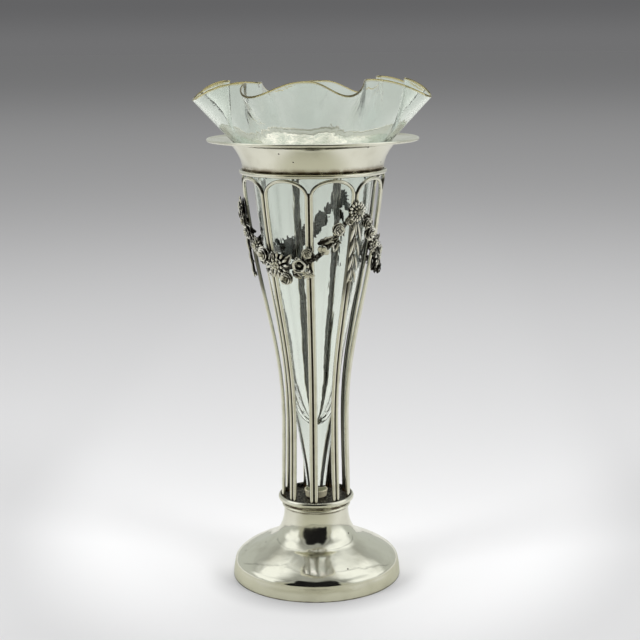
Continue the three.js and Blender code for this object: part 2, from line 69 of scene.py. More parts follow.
def line_mesh(name, points):
    """A run of points with an edge from each to the next."""
    return plain_mesh(name, points, edges=[(i, i + 1) for i in range(len(points) - 1)])


def in_scene(name, data):
    piece = bpy.data.objects.new(name, data)
    bpy.context.scene.collection.objects.link(piece)
    return piece


def dressed(piece, slot, body, *nodes):
    """Hand over a finished piece: the body it moves with and the solids it stands for; its finish is not
    used.
    """
    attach(piece, body)
    if nodes:
        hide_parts(*nodes)
    print(piece.name, "has", len(piece.data.polygons), "faces and rides on", body)
    return piece


# %% [markdown]
# ## Sums written as sums
#
# A material in Blender is a graph of small nodes. Wiring each Math node by hand hides the idea behind the
# boxes, so this class wraps one socket and lets ordinary signs add the nodes: `1 - mask` is a Math node
# set to subtract. One more method, `node`, adds any other kind, and the short methods after it are the
# nodes used most. The same class builds the geometry graphs later, which share the Math nodes.

# %% A socket that does sums
def both_ways(operation):
    """A sign with the socket on its left, and the same sign with a plain number there."""
    return (lambda self, other: self.maths(operation, other),
            lambda self, other: self.maths(operation, self, first=other))


class Socket:
    __add__, __radd__ = both_ways("ADD")
    __sub__, __rsub__ = both_ways("SUBTRACT")
    __mul__, __rmul__ = both_ways("MULTIPLY")
    __truediv__, __rtruediv__ = both_ways("DIVIDE")
    __pow__, __rpow__ = both_ways("POWER")

    def __init__(self, tree, socket):
        self.tree = tree
        self.socket = socket

    def node(self, kind, settings=None, inputs=None, output=0):
        made = self.tree.nodes.new(kind)
        for name, value in (settings or {}).items():
            setattr(made, name, value)
        for name, value in (inputs or {}).items():
            if isinstance(value, Socket):
                self.tree.links.new(value.socket, made.inputs[name])
            else:
                made.inputs[name].default_value = value
        return Socket(self.tree, made.outputs[output])

    def maths(self, operation, second=0.0, first=None):
        inputs = {0: self if first is None else first, 1: second}
        return self.node("ShaderNodeMath", {"operation": operation}, inputs)

    def vector(self, operation, second=(0, 0, 0), output=0):
        return self.node("ShaderNodeVectorMath", {"operation": operation}, {0: self, 1: second}, output)

    def __abs__(self):
        return self.maths("ABSOLUTE")

    def part(self, axis):
        return self.node("ShaderNodeSeparateXYZ", inputs={0: self}, output=axis)

    def xyz(self, x=0.0, y=0.0, z=0.0):
        return self.node("ShaderNodeCombineXYZ", inputs={0: x, 1: y, 2: z})

    def ramp(self, low, high):
        """0 at low, 1 at high, and a smooth rise or fall between them."""
        sizes = {"Value": self, "From Min": low, "From Max": high}
        return self.node("ShaderNodeMapRange", {"interpolation_type": "SMOOTHSTEP"}, sizes)

    def noise(self, grain, detail=2.0, output=0):
        """Cloudy noise on a place, with lumps of about that many millimetres."""
        sizes = {"Vector": self, "Scale": 1 / grain, "Detail": detail}
        return self.node("ShaderNodeTexNoise", inputs=sizes, output=output)

    def blend(self, first, second):
        """The first colour where this is 0 and the second where it is 1."""
        return self.node("ShaderNodeMix", {"data_type": "RGBA"}, {0: self, 6: first, 7: second}, output=2)

    def into(self, shader, name):
        self.tree.links.new(self.socket, shader.inputs[name])


# %% [markdown]
# ## How every finish starts
#
# Each material begins in the same way: a Principled shader, the values that are the same all over, and the
# place on the piece. Object coordinates give that place, because the pieces all sit at the origin, so a
# height in a finish is a height on the vase.

# %% Start a finish
def start_finish(name, **even):
    """A new material, its shader with what is the same all over, and the place in millimetres."""
    material = bpy.data.materials.new(name)
    material.use_nodes = True
    tree = material.node_tree
    shader = tree.nodes["Principled BSDF"]
    for label, value in even.items():
        shader.inputs[label.replace("_", " ")].default_value = value
    metres = Socket(tree, tree.nodes.new("ShaderNodeTexCoord").outputs["Object"])
    return material, shader, metres.vector("MULTIPLY", (1 / MM, 1 / MM, 1 / MM))


def bumped(place, height, depth):
    """A normal that follows a height of 0 to 1, that many millimetres deep."""
    return place.node("ShaderNodeBump", inputs={"Height": height, "Distance": depth * MM, "Strength": 1.0})


# %% [markdown]
# ## Polished silver plate
#
# Old silver plate is a warm, pale mirror. A hundred years of polishing leave faint rings from the lathe and
# gentle dents that bend the reflections, a thin dull film in clouds, a few black pits, and brown tarnish in
# the seams, where a cloth does not reach. A metal shader with one colour would look like new chrome, so each
# of these is a mask. The masks read the place on the piece, and a seam is simply a height and its reach.

# %% The silver finish
SILVER = (0.79, 0.78, 0.69, 1)
DULL_SILVER = (0.60, 0.58, 0.48, 1)
TARNISH = (0.085, 0.062, 0.042, 1)
PIT_BLACK = (0.012, 0.011, 0.010, 1)
FILM_SIZE = 11.0
CLOUD_SIZE = 3.1
PIT_SPACING = 5.0
RING_SPACING = 0.35
DENT_LENGTH = 17.0
DENT_DEPTH = 0.16
KNOCK_LENGTH = 6.0
KNOCK_PATCH = 15.0


def from_axis(place):
    """How far a place is from the vase's axis."""
    return place.vector("MULTIPLY", (1, 1, 0)).vector("LENGTH", output=1)


def seam_tarnish(place, level, reach):
    """Brown film that is densest at a height and breaks up into clouds away from it."""
    near = abs(place.part(2) - level).ramp(reach, 0.15 * reach)
    clouds = place.noise(CLOUD_SIZE, 4.0).ramp(0.34, 0.62)
    return near * (near * 0.55 + clouds * 0.6)


def silver_masks(place):
    """The film, pits and lathe rings that every piece of plate has."""
    film = place.noise(FILM_SIZE, 4.0).ramp(0.44, 0.74)
    cell = {"Vector": place, "Scale": 1 / PIT_SPACING}
    near_pit = place.node("ShaderNodeTexVoronoi", inputs=cell).ramp(0.085, 0.045)
    chance = place.node("ShaderNodeTexVoronoi", inputs=cell, output=1).part(0)
    rings = place.xyz(from_axis(place), place.part(2)).noise(RING_SPACING, 3.0)
    return film, near_pit * chance.ramp(0.55, 0.6), rings


def polished_silver(name, seams=(), stain=TARNISH, plate=SILVER, dent_depth=DENT_DEPTH, knocks=0.2,
                    dull=0.0, metal=1.0):
    """Plate with tarnish at its seams, which are heights with a reach."""
    material, shader, place = start_finish(name, Metallic=metal)
    film, pits, rings = silver_masks(place)
    colour = (film * 0.5).blend(plate, DULL_SILVER)
    rough = 0.055 + dull + film * 0.075 + rings * 0.035
    for level, reach in seams:
        tarnish = seam_tarnish(place, level, reach)
        colour = (tarnish * 0.85).blend(colour, stain)
        rough = rough + tarnish * 0.22
    pits.blend(colour, PIT_BLACK).into(shader, "Base Color")
    (rough + pits * 0.4).into(shader, "Roughness")
    knocked = place.noise(KNOCK_PATCH, 1.0).ramp(0.42, 0.58)
    dents = place.noise(DENT_LENGTH, 1.0) + place.noise(KNOCK_LENGTH, 1.0) * knocked * knocks
    bumped(place, dents + rings * 0.012 - pits * 0.2, dent_depth).into(shader, "Normal")
    return material


# %% [markdown]
# ## Running a geometry tree
#
# Geometry Nodes make what repeats or follows a rule. Each tree here takes a small starting mesh and named
# inputs, ends with Realize Instances and Set Material, and is run once: `grown` sets the inputs, keeps the
# result as a plain mesh and throws the modifier away. A live modifier would work as well, but a plain mesh
# can be measured and marked afterwards.

# %% A tree that runs on a starting mesh
def new_tree(name, **inputs):
    """An empty tree with named inputs, and those inputs as sockets."""
    tree = bpy.data.node_groups.new(name, "GeometryNodeTree")
    tree.interface.new_socket("Geometry", in_out="INPUT", socket_type="NodeSocketGeometry")
    for label, kind in inputs.items():
        tree.interface.new_socket(label, in_out="INPUT", socket_type="NodeSocket" + kind)
    tree.interface.new_socket("Geometry", in_out="OUTPUT", socket_type="NodeSocketGeometry")
    starts = tree.nodes.new("NodeGroupInput").outputs
    return tree, {socket.name: Socket(tree, socket) for socket in starts if socket.name}


def end_tree(tree, geometry, material):
    real = geometry.node("GeometryNodeRealizeInstances", inputs={"Geometry": geometry})
    rounded = geometry.node("GeometryNodeSetShadeSmooth", inputs={"Geometry": real})
    painted = geometry.node("GeometryNodeSetMaterial", inputs={"Geometry": rounded, "Material": material})
    tree.links.new(painted.socket, tree.nodes.new("NodeGroupOutput").inputs["Geometry"])
    return tree


def grown(name, start, tree, **sizes):
    """Run a tree on a starting mesh and keep what it makes as a plain mesh."""
    seed = in_scene(name + "_start", start)
    modifier = seed.modifiers.new(tree.name, "NODES")
    modifier.node_group = tree
    for item in tree.interface.items_tree:
        if item.name in sizes:
            modifier[item.identifier] = sizes[item.name]
    graph = bpy.context.evaluated_depsgraph_get()
    mesh = bpy.data.meshes.new_from_object(seed.evaluated_get(graph), depsgraph=graph)
    seed.modifiers.clear()
    bpy.data.objects.remove(seed)
    mesh.name = name
    return in_scene(name, mesh)


# %% [markdown]
# ## Turning on the lathe
#
# The foot, the dish, the little socket, the ring and the collar are all round: each is one outline turned
# about the vase's axis, which is a rule, so one tree makes them all. The Spin tool would do it too, but
# the tree keeps its sizes as named inputs. It lays a grid, reads from each point's number which outline
# point and which step round it is, moves it there, and sews the seam and the poles shut.

# %% The lathe tree
SEWING_DISTANCE = 0.002


def lathe_tree():
    tree, given = new_tree("Turned on a lathe", OutlinePoints="Int", RoundSteps="Int", Finish="Material")
    outline, across, round_ = given["Geometry"], given["OutlinePoints"], given["RoundSteps"] + 1.0
    grid = outline.node("GeometryNodeMeshGrid", inputs={"Vertices X": across, "Vertices Y": round_})
    number = outline.node("GeometryNodeInputIndex")
    row = (number / round_).maths("FLOOR")
    turn = (number - row * round_) * math.tau / given["RoundSteps"]
    drawn = outline.node("GeometryNodeSampleIndex", {"data_type": "FLOAT_VECTOR"}, {
        "Geometry": outline, "Value": outline.node("GeometryNodeInputPosition"), "Index": row})
    radius = drawn.part(0)
    spun = outline.xyz(radius * turn.maths("SINE"), radius * turn.maths("COSINE") * -1.0, drawn.part(2))
    moved = outline.node("GeometryNodeSetPosition", inputs={"Geometry": grid, "Position": spun})
    sewn = outline.node("GeometryNodeMergeByDistance", inputs={
        "Geometry": moved, "Distance": SEWING_DISTANCE * MM})
    return end_tree(tree, outline.node("GeometryNodeFlipFaces", inputs={"Mesh": sewn}), given["Finish"])


LATHE = lathe_tree()


def turned(name, outline, finish, steps=160):
    """A turned piece from (radius, height) points that run up the outside and down the inside."""
    start = line_mesh(name + "_outline", [(radius, 0, height) for radius, height in outline])
    return grown(name, start, LATHE, OutlinePoints=len(outline), RoundSteps=steps, Finish=finish)


# %% [markdown]
# ## Outlines with soft corners
#
# A spun outline is made of curves and of corners that the burnisher has rounded a little. `bend` draws a
# curve between two points from two handles, each given as a share of the way across and up. A perfectly
# sharp corner catches no light, so `eased` swaps every corner of an outline for a small arc. A Bevel
# modifier could do that too, but on an outline it is cheaper and never tangles.

# %% Curves, corners and walls of an outline
def bend(start, end, handles, steps=24):
    first, last = np.array(start, float), np.array(end, float)
    near, far = (first + (last - first) * handle for handle in np.array(handles, float))
    t = np.linspace(0, 1, steps + 1)[:, None]
    u = 1 - t
    return u ** 3 * first + 3 * u ** 2 * t * near + 3 * u * t ** 2 * far + t ** 3 * last


def eased(outline, reach=0.3, sharp=25, steps=4):
    points = [np.array(point, float) for point in outline]
    made = [points[0]]
    for before, corner, after in zip(points, points[1:], points[2:]):
        back, on = before - corner, after - corner
        back_length, on_length = np.linalg.norm(back), np.linalg.norm(on)
        straight = -np.dot(back, on) / (back_length * on_length)
        if math.degrees(math.acos(np.clip(straight, -1, 1))) < sharp:
            made.append(corner)
            continue
        short = min(reach, 0.45 * back_length, 0.45 * on_length)
        start, end = corner + back / back_length * short, corner + on / on_length * short
        for t in np.linspace(0, 1, steps + 1):
            made.append((1 - t) ** 2 * start + 2 * (1 - t) * t * corner + t ** 2 * end)
    return np.array(made + [points[-1]])


def walled(points, wall):
    """The same line moved to its left by a wall."""
    along = np.gradient(np.asarray(points, float), axis=0)
    along /= np.linalg.norm(along, axis=1, keepdims=True)
    return np.asarray(points) + wall * np.column_stack([-along[:, 1], along[:, 0]])


def arc(middle, radius, start, end, steps=10):
    turn = np.radians(np.linspace(start, end, steps + 1))
    return np.column_stack([middle[0] + radius * np.cos(turn), middle[1] + radius * np.sin(turn)])


# %% [markdown]
# ## The foot
#
# The foot is spun from one sheet: an upright band that stands on the table, a low dome, and a hollow neck.
# Its outline repeats the frame's own sizes, with many more points on the curves, and the inside is the
# same line moved in by the thickness of the sheet. It takes most of the knocks, so its dents are deepest.

# %% Spin the foot
FOOT_RADIUS = 36.45
FOOT_WALL = 0.9
BAND_HEIGHT = 6.0
BAND_TOP_RADIUS = 35.7
DOME_TOP = 15.8
DOME_EDGE = 21.16
NECK_RADIUS = 13.9
NECK_CURVE_TOP = 30.1
NECK_TOP = 31.0

band = bend((FOOT_RADIUS, 0), (BAND_TOP_RADIUS, BAND_HEIGHT), [(0.05, 0.33), (0.45, 0.7)], 10)
dome_curve = bend((BAND_TOP_RADIUS, BAND_HEIGHT), (DOME_EDGE, DOME_TOP), [(0.01, 0.34), (0.41, 0.61)], 44)
neck = bend((DOME_EDGE, DOME_TOP), (NECK_RADIUS, NECK_CURVE_TOP), [(0.59, 0.133), (1, 0.457)], 40)
foot_outside = np.vstack([band, dome_curve[1:], neck[1:], [(NECK_RADIUS, NECK_TOP)]])
foot_inside = walled(foot_outside, FOOT_WALL)
foot_inside[0, 1] = 0
foot_inside[-1, 1] = NECK_TOP
foot_outline = eased(np.vstack([foot_outside, foot_inside[::-1], foot_outside[:1]]), 0.35)

FOOT_SEAMS = [(0.0, 0.7), (NECK_TOP, 1.1)]
FOOT_DENT_DEPTH = 0.56
foot_silver = polished_silver("foot_silver", FOOT_SEAMS, dent_depth=FOOT_DENT_DEPTH, knocks=0.25)
dressed(turned("foot", foot_outline, foot_silver, 192), "silver_plate", "frame", "foot_shell")

# %% [markdown]
# ## The dish
#
# The wires stand in a shallow dish with a round lip and two fine mouldings under it. It is turned from one
# outline like the foot. Nobody can polish between the wires, so the dish is black with oxide inside while
# its lip shines. The oxide is a mask on the height and on the distance from the axis.

# %% Turn the dish
DISH_TOP = 36.0
DISH_FLOOR = 34.4
DISH_FLOOR_RADIUS = 15.2
DISH_RADIUS = 16.4
LIP_HALF = np.array([0.85, 1.15])
BEAD_RADIUS = 0.62
SPIGOT_FOOT = 29.0
SPIGOT_RADIUS = 12.7
BEAD_PROUD = 0.35
HOLLOW_PROUD = 0.25
HOLLOW_RISE = 1.55
LIP_UNDERCUT = np.array([1.3, 2.5])
DISH_WALL_TOP = DISH_TOP - 1.1
FLOOR_CUT = 0.5
OXIDE_EDGE = (DISH_RADIUS - 0.55, DISH_RADIUS - 1.15)
OXIDE_GRAIN = 0.9
DISH_GROOVES = [(NECK_TOP, 0.45), (NECK_TOP + 1.5, 0.6)]
OXIDE_BLACK = (0.010, 0.009, 0.008, 1)
OXIDE_GREY = (0.30, 0.28, 0.23, 1)

dish_edge = np.array([DISH_RADIUS, DISH_TOP])
lip_middle = dish_edge - LIP_HALF
bead_middle = (NECK_RADIUS + BEAD_PROUD, NECK_TOP + BEAD_RADIUS)
hollow_foot, hollow_top = (NECK_RADIUS + HOLLOW_PROUD, NECK_TOP + HOLLOW_RISE), dish_edge - LIP_UNDERCUT
dish_outline = np.vstack([
    [(0, SPIGOT_FOOT), (SPIGOT_RADIUS, SPIGOT_FOOT), (SPIGOT_RADIUS, NECK_TOP), (NECK_RADIUS, NECK_TOP)],
    arc(bead_middle, BEAD_RADIUS, -60, 70, 10),
    bend(hollow_foot, hollow_top, [(0.1, 0.5), (0.5, 0.85)], 10),
    lip_middle + LIP_HALF * arc((0, 0), 1.0, -75, 170, 24),
    [(DISH_FLOOR_RADIUS, DISH_WALL_TOP), (DISH_FLOOR_RADIUS - FLOOR_CUT, DISH_FLOOR), (0, DISH_FLOOR)],
])


def dish_finish():
    material, shader, place = start_finish("dish_silver", Metallic=1.0)
    film, pits, rings = silver_masks(place)
    within_lip = from_axis(place).ramp(*OXIDE_EDGE)
    inside = within_lip * place.part(2).ramp(DISH_FLOOR - 0.3, DISH_FLOOR)
    lower_groove, upper_groove = (seam_tarnish(place, *groove) for groove in DISH_GROOVES)
    grooves = lower_groove + upper_groove
    colour = (film * 0.5).blend(SILVER, DULL_SILVER)
    colour = (grooves * 0.95).ramp(0, 1).blend(colour, TARNISH)
    grime = place.noise(OXIDE_GRAIN, 5.0).ramp(0.42, 0.70)
    inside.blend(colour, grime.blend(OXIDE_BLACK, OXIDE_GREY)).into(shader, "Base Color")
    (0.07 + film * 0.07 + grooves * 0.2 + inside * 0.38).into(shader, "Roughness")
    surface = place.noise(DENT_LENGTH, 1.0) + inside * grime * 0.5 + rings * 0.012
    bumped(place, surface, DENT_DEPTH).into(shader, "Normal")
    return material


dressed(turned("dish", eased(dish_outline, 0.2), dish_finish()), "silver_plate", "frame", "base_dish")

# %% [markdown]
# ## The socket
#
# In the middle of the dish a small cup takes the tip of the glass. It is turned as well. Deep between the
# wires it has yellowed and lost its shine, so its finish is dull and hardly metallic.

# %% Turn the socket
SOCKET_INSIDE = 4.4
SOCKET_WALL = 0.65
SOCKET_FLOOR = DISH_FLOOR + 0.8
SOCKET_TOP = 37.8
SOCKET_FOOT_RADIUS = 4.6
SOCKET_FOOT_CUT = 0.4
SOCKET_LIP = 0.7
SOCKET_LIP_STEP = np.array([0.2, 0.3])
YELLOWED = (0.95, 0.88, 0.62, 1)

socket_outside = SOCKET_INSIDE + SOCKET_WALL
socket_lip = np.array([socket_outside, SOCKET_TOP - SOCKET_LIP])
socket_outline = [
    (0, DISH_FLOOR), (SOCKET_FOOT_RADIUS - SOCKET_FOOT_CUT, DISH_FLOOR),
    (SOCKET_FOOT_RADIUS, DISH_FLOOR + SOCKET_FOOT_CUT), socket_lip - SOCKET_LIP_STEP, socket_lip,
    (socket_outside, SOCKET_TOP), (SOCKET_INSIDE, SOCKET_TOP),
    (SOCKET_INSIDE, SOCKET_FLOOR), (0, SOCKET_FLOOR),
]
socket_silver = polished_silver("socket_silver", [(DISH_FLOOR, 0.9)], plate=YELLOWED, dull=0.2, metal=0.1)
socket = turned("socket", eased(socket_outline, 0.22), socket_silver, 96)
dressed(socket, "silver_plate", "frame", "glass_socket")

# %% [markdown]
# ## The line of the cage
#
# Each wire goes up one post, over a round arch, and down the next post, so two legs stand side by side at
# every post. Seen from the side all posts follow one curve: nearly straight up to a waist, then out like
# a trumpet. The curve is a little fuller than the frame's, by about a millimetre, as the picture shows it.
# One hairpin is drawn as points on it, which is quicker to change than nine curves drawn by hand.

# %% Side view of the cage
WIRE_DIAMETER = 1.4
LEG_OFFSET = 1.0
POST_COUNT = 9
POST_ANGLE = math.tau / POST_COUNT
CAGE_FOOT_RADIUS = 14.2
WAIST_RADIUS = 13.7
WAIST_HEIGHT = 67.9
CAGE_TOP_RADIUS = 29.4
CAGE_TOP = 175.4
ARCH_SPRING = 168.4
ARCH_RISE = 6.0
LEG_STEPS = 70
ARCH_STEPS = 40

waist = (WAIST_RADIUS, WAIST_HEIGHT)
lower_cage = bend((CAGE_FOOT_RADIUS, DISH_FLOOR), waist, [(0, 0.3), (1, 0.6)], 60)
upper_cage = bend(waist, (CAGE_TOP_RADIUS, CAGE_TOP), [(0, 0.365), (0.64, 0.49)], 120)
cage_line = np.vstack([lower_cage, upper_cage[1:]])


def cage_radius(height):
    return np.interp(height, cage_line[:, 1], cage_line[:, 0])


def on_vase(radius, angle, height):
    """A place round the vase, at an angle from the front."""
    return np.stack(np.broadcast_arrays(radius * np.sin(angle), -radius * np.cos(angle), height), axis=-1)


def half_bay(height):
    """Half the angle between the two legs of one hairpin."""
    return POST_ANGLE / 2 - np.arcsin(LEG_OFFSET / cage_radius(height))


def hairpin():
    rise = np.linspace(DISH_FLOOR, ARCH_SPRING, LEG_STEPS)
    turn = np.linspace(0, math.pi, ARCH_STEPS + 1)[1:-1]
    heights = np.concatenate([rise, ARCH_SPRING + ARCH_RISE * np.sin(turn), rise[::-1]])
    sides = np.concatenate([np.full(LEG_STEPS, -1.0), -np.cos(turn), np.full(LEG_STEPS, 1.0)])
    return on_vase(cage_radius(heights), POST_ANGLE / 2 + sides * half_bay(heights), heights)


print("cage:", POST_COUNT, "posts, radius", WAIST_RADIUS, "at the waist and", CAGE_TOP_RADIUS, "at the top")

# %% [markdown]
# ## Sweeping wires
#
# A tree turns a line of points into a curve, sweeps a round section along it, and sets copies round the
# axis. A curve object with a bevel and an Array modifier would do the same, but here the thickness and the
# count are named inputs, and the tree serves the solder in the posts as well.

# %% The cage tree
SECTION_CORNERS = 16


def spread_round(start, count):
    """Points on the axis, one for each copy, and how far each copy is turned about it."""
    stands = start.node("GeometryNodeMeshLine", inputs={"Count": count, "Offset": (0, 0, 0)})
    return stands, start.xyz(z=start.node("GeometryNodeInputIndex") * math.tau / count)


def cage_tree():
    tree, given = new_tree("Wires round the cage", WireRadius="Float", Posts="Int", Finish="Material")
    line = given["Geometry"]
    path = line.node("GeometryNodeMeshToCurve", inputs={"Mesh": line})
    section = line.node("GeometryNodeCurvePrimitiveCircle", inputs={
        "Resolution": SECTION_CORNERS, "Radius": given["WireRadius"]})
    wire = line.node("GeometryNodeCurveToMesh", inputs={
        "Curve": path, "Profile Curve": section, "Fill Caps": True})
    stands, turn = spread_round(line, given["Posts"])
    copies = line.node("GeometryNodeInstanceOnPoints", inputs={
        "Points": stands, "Instance": wire, "Rotation": turn})
    return end_tree(tree, copies, given["Finish"])


CAGE = cage_tree()


def swept(name, points, thick, finish):
    """A line of points given a round section and repeated round the cage."""
    line = line_mesh(name + "_line", points)
    return grown(name, line, CAGE, WireRadius=thick / 2 * MM, Posts=POST_COUNT, Finish=finish)


# %% [markdown]
# ## Grime and painted shade on the wires
#
# A cloth reaches the outside of a wire but not the side toward its neighbour or the glass, nor the wires
# behind a hanging drop of husks, so black grime stays there; these are also the places where shade falls,
# so the dark there is grime and painted shade together. A mask in the material can't know where the next
# wire is, but the script can: it works the darkening out at every point and keeps it as an attribute named
# grime. The finish reads that, and adds brown stains where the legs stand in the dish.

# %% The finish of the wires
SWAG_COUNT = 3
SWAG_HALF_ANGLE = math.pi / SWAG_COUNT
ROSETTE_ANGLES = [math.radians(40 + 120 * k) for k in range(SWAG_COUNT)]
DROP_SPAN = (122, 165)
DROP_HALF_WIDTH = 2.8
STAIN_TOP = DISH_TOP + 1.5
# Near black: grime and painted shade on the wires.
WIRE_GRIME_AND_SHADE = (0.030, 0.025, 0.018, 1)
WIRE_STAIN = (0.20, 0.12, 0.06, 1)


def keep_marks(mesh, name, numbers):
    """Keep a number with each point of a mesh."""
    marks = mesh.attributes.new(name, "FLOAT", "POINT")
    marks.data.foreach_set("value", np.asarray(numbers, np.float32))


def marked(place, name):
    """The number that a piece keeps at each point under that name."""
    return place.node("ShaderNodeAttribute", {"attribute_name": name}, output=2)


def smooth(t):
    t = np.clip(t, 0, 1)
    return t * t * (3 - 2 * t)


def grime_and_shade_on(points, facing):
    """How far each point is hidden from the cloth and from the light, from 0 to 1: grime and painted shade.
    """
    x, y, height = points.T
    radius, angle = np.hypot(x, y), np.arctan2(x, -y)
    bay = half_bay(height)
    swing = angle - (np.floor(angle / POST_ANGLE) + 0.5) * POST_ANGLE
    arch = np.clip((height - ARCH_SPRING) / ARCH_RISE, 0, None)
    beyond = (np.hypot(swing / bay, arch) - 1) * bay * radius
    start = 0.52 - 0.38 * smooth(arch / 0.2)
    # Grime and painted shade beside the neighbour leg, less near the top of the arch.
    beside = smooth((beyond - start) / 0.26) * (1 - 0.8 * smooth((arch - 0.7) / 0.25))
    # Grime and painted shade on the side that faces the glass.
    inward = smooth((-(facing[:, 0] * x + facing[:, 1] * y) / radius - 0.45) / 0.45)
    # Grime and painted shade on the wires behind a drop of husks.
    from_drop = (angle - ROSETTE_ANGLES[0] + SWAG_HALF_ANGLE) % (2 * SWAG_HALF_ANGLE) - SWAG_HALF_ANGLE
    along_drop = smooth((height - DROP_SPAN[0]) / 8) * smooth((DROP_SPAN[1] - height) / 4)
    under_drop = smooth((DROP_HALF_WIDTH - np.abs(from_drop) * radius) / 0.6) * along_drop
    return np.maximum(np.maximum(beside, inward), 0.7 * under_drop)


def wire_finish():
    material, shader, place = start_finish("wire_silver", Metallic=1.0)
    # The grime attribute holds painted shade as well as grime.
    dirt_and_shade = marked(place, "grime") * 0.97
    feet = place.part(2).ramp(STAIN_TOP, DISH_FLOOR)
    film = place.noise(5.0, 4.0).ramp(0.42, 0.72)
    brown = (feet * place.noise(1.2, 2.0) * 1.7).ramp(0, 1)
    colour = dirt_and_shade.blend((film * 0.55).blend(SILVER, DULL_SILVER), WIRE_GRIME_AND_SHADE)
    brown.blend(colour, WIRE_STAIN).into(shader, "Base Color")
    (0.08 + film * 0.09 + dirt_and_shade * 0.3 + brown * 0.3).into(shader, "Roughness")
    bumped(place, place.noise(6.0, 2.0), 0.05).into(shader, "Normal")
    return material


# %% [markdown]
# ## The wires and their solder
#
# The wires are drawn a little thicker than the bare ones in the frame, for the plating and the solder on
# them. Between the two legs of a post runs a dark line of old solder, which is a thinner line swept by the
# same tree. It could be painted on, but as a piece of its own it stays right when the wires change.

# %% Bend the wires
PLATED_DIAMETER = 1.54
SOLDER_DIAMETER = 0.75
SOLDER_SUNK = 0.1
SOLDER_TOP = ARCH_SPRING + 1.2
SOLDER_POINTS = 60
SOLDER_TONES = (0.030, 0.026, 0.020, 1), (0.105, 0.086, 0.062, 1)

cage = swept("cage_wires", hairpin(), PLATED_DIAMETER, wire_finish())
wire_points = np.array([vertex.co for vertex in cage.data.vertices]) / MM
wire_grime_and_shade = grime_and_shade_on(wire_points, np.array([vertex.normal for vertex in cage.data.vertices]))
keep_marks(cage.data, "grime", wire_grime_and_shade)
print("grime covers", round(float(wire_grime_and_shade.mean()) * 100), "percent of the wires")
dressed(cage, "silver_wire", "frame", *[f"arch_wire_{k + 1}" for k in range(POST_COUNT)])


def solder_finish():
    material, shader, place = start_finish("old_solder", Metallic=1.0, Roughness=0.55)
    grain = place.noise(1.1, 3.0)
    grain.ramp(0.35, 0.75).blend(*SOLDER_TONES).into(shader, "Base Color")
    bumped(place, grain, 0.1).into(shader, "Normal")
    return material


solder_heights = np.linspace(DISH_FLOOR, SOLDER_TOP, SOLDER_POINTS)
solder_line = on_vase(cage_radius(solder_heights) - SOLDER_SUNK, 0.0, solder_heights)
dressed(swept("post_solder", solder_line, SOLDER_DIAMETER, solder_finish()), "silver_wire", "frame")

# %% [markdown]
# ## The ring and the collar
#
# A half-round ring ties the arches together, and the collar stands on it: a short upright wall that flares
# like a trumpet into a thin, nearly flat brim with a rolled edge. Both are turned. The flare must bulge
# evenly, because a polished curve that flattens halfway shows a dark smudge. Brown tarnish has gathered in
# the corner between them, so both finishes have a seam at that height.

# %% Turn the ring and the collar
RING_TOP = 177.2
RING_INSIDE = 28.3
RING_RADIUS = 30.85
COLLAR_RADIUS = 29.6
COLLAR_WALL = 0.8
FLARE_FOOT = 178.8
FLARE_TOP = 187.5
FLARE_RADIUS = 34.2
BRIM_RADIUS = 44.15
BRIM_TOP = 190.1
BRIM_ROLL = 0.65
BROWN_FILM = (0.25, 0.20, 0.135, 1)

ring_half = (RING_TOP - CAGE_TOP) / 2
ring_outline = np.vstack([
    [(RING_INSIDE, CAGE_TOP)],
    arc((RING_RADIUS - ring_half, CAGE_TOP + ring_half), ring_half, -90, 90, 16),
    [(RING_INSIDE, RING_TOP), (RING_INSIDE, CAGE_TOP)],
])
ring_silver = polished_silver("ring_silver", [(RING_TOP, 0.35)])
dressed(turned("ring", eased(ring_outline, 0.15), ring_silver, 192), "silver_plate", "frame", "upper_ring")

flare_corner = (FLARE_RADIUS, FLARE_TOP)
brim_edge = (BRIM_RADIUS - 2 * BRIM_ROLL, BRIM_TOP - 2 * BRIM_ROLL)
flare = bend((COLLAR_RADIUS, FLARE_FOOT), flare_corner, [(0.10, 0.41), (0.69, 0.855)], 36)
brim = bend(flare_corner, brim_edge, [(0.04, 0.24), (0.45, 0.66)], 24)
collar_outside = np.vstack([[(COLLAR_RADIUS, RING_TOP)], flare, brim[1:]])
collar_inside = walled(collar_outside, COLLAR_WALL)
collar_inside[0, 1] = RING_TOP
roll = arc((BRIM_RADIUS - BRIM_ROLL, BRIM_TOP - BRIM_ROLL), BRIM_ROLL, -90, 100, 16)
collar_outline = np.vstack([collar_outside, roll, collar_inside[::-1], collar_outside[:1]])
collar_silver = polished_silver("collar_silver", [(RING_TOP + 0.1, 2.8)], stain=BROWN_FILM, dull=0.05)
dressed(turned("collar", eased(collar_outline, 0.2), collar_silver, 192), "silver_plate", "frame", "collar")

# %% [markdown]
# ## The crimped bowl
#
# The liner is blown glass, and its bowl was crimped by hand into eight uneven folds. Each row of `CRIMPS`
# is one turning point of the rim: its angle, how far the wall leans out there, and how far it reaches.
# A formula would make the folds even, so they are a list, and the rim is eased from each row to the next.

# %% Folds of the bowl
BOWL_BASE = (30.7, 185.9)
BOWL_SLANT = 28.0
SEAT_LEAN = 45.0
CRIMP_START = 0.6
CRIMPS = np.array([
    (20, 38, 1.02), (43.8, -2, 1.04), (74, 43.5, 1.02), (91.5, 8, 1.05),
    (110.5, 42, 1.01), (127.3, -2, 1.05), (158, 43, 0.99), (178.8, -2, 0.97),
    (203, 42, 0.98), (228, -4, 0.96), (252, 45, 1.05), (264.5, 0, 1.01),
    (284, 43, 0.97), (308.5, -5, 0.99), (334, 38, 1.01), (359.7, -2, 1.02),
])
BOWL_STEPS = 44


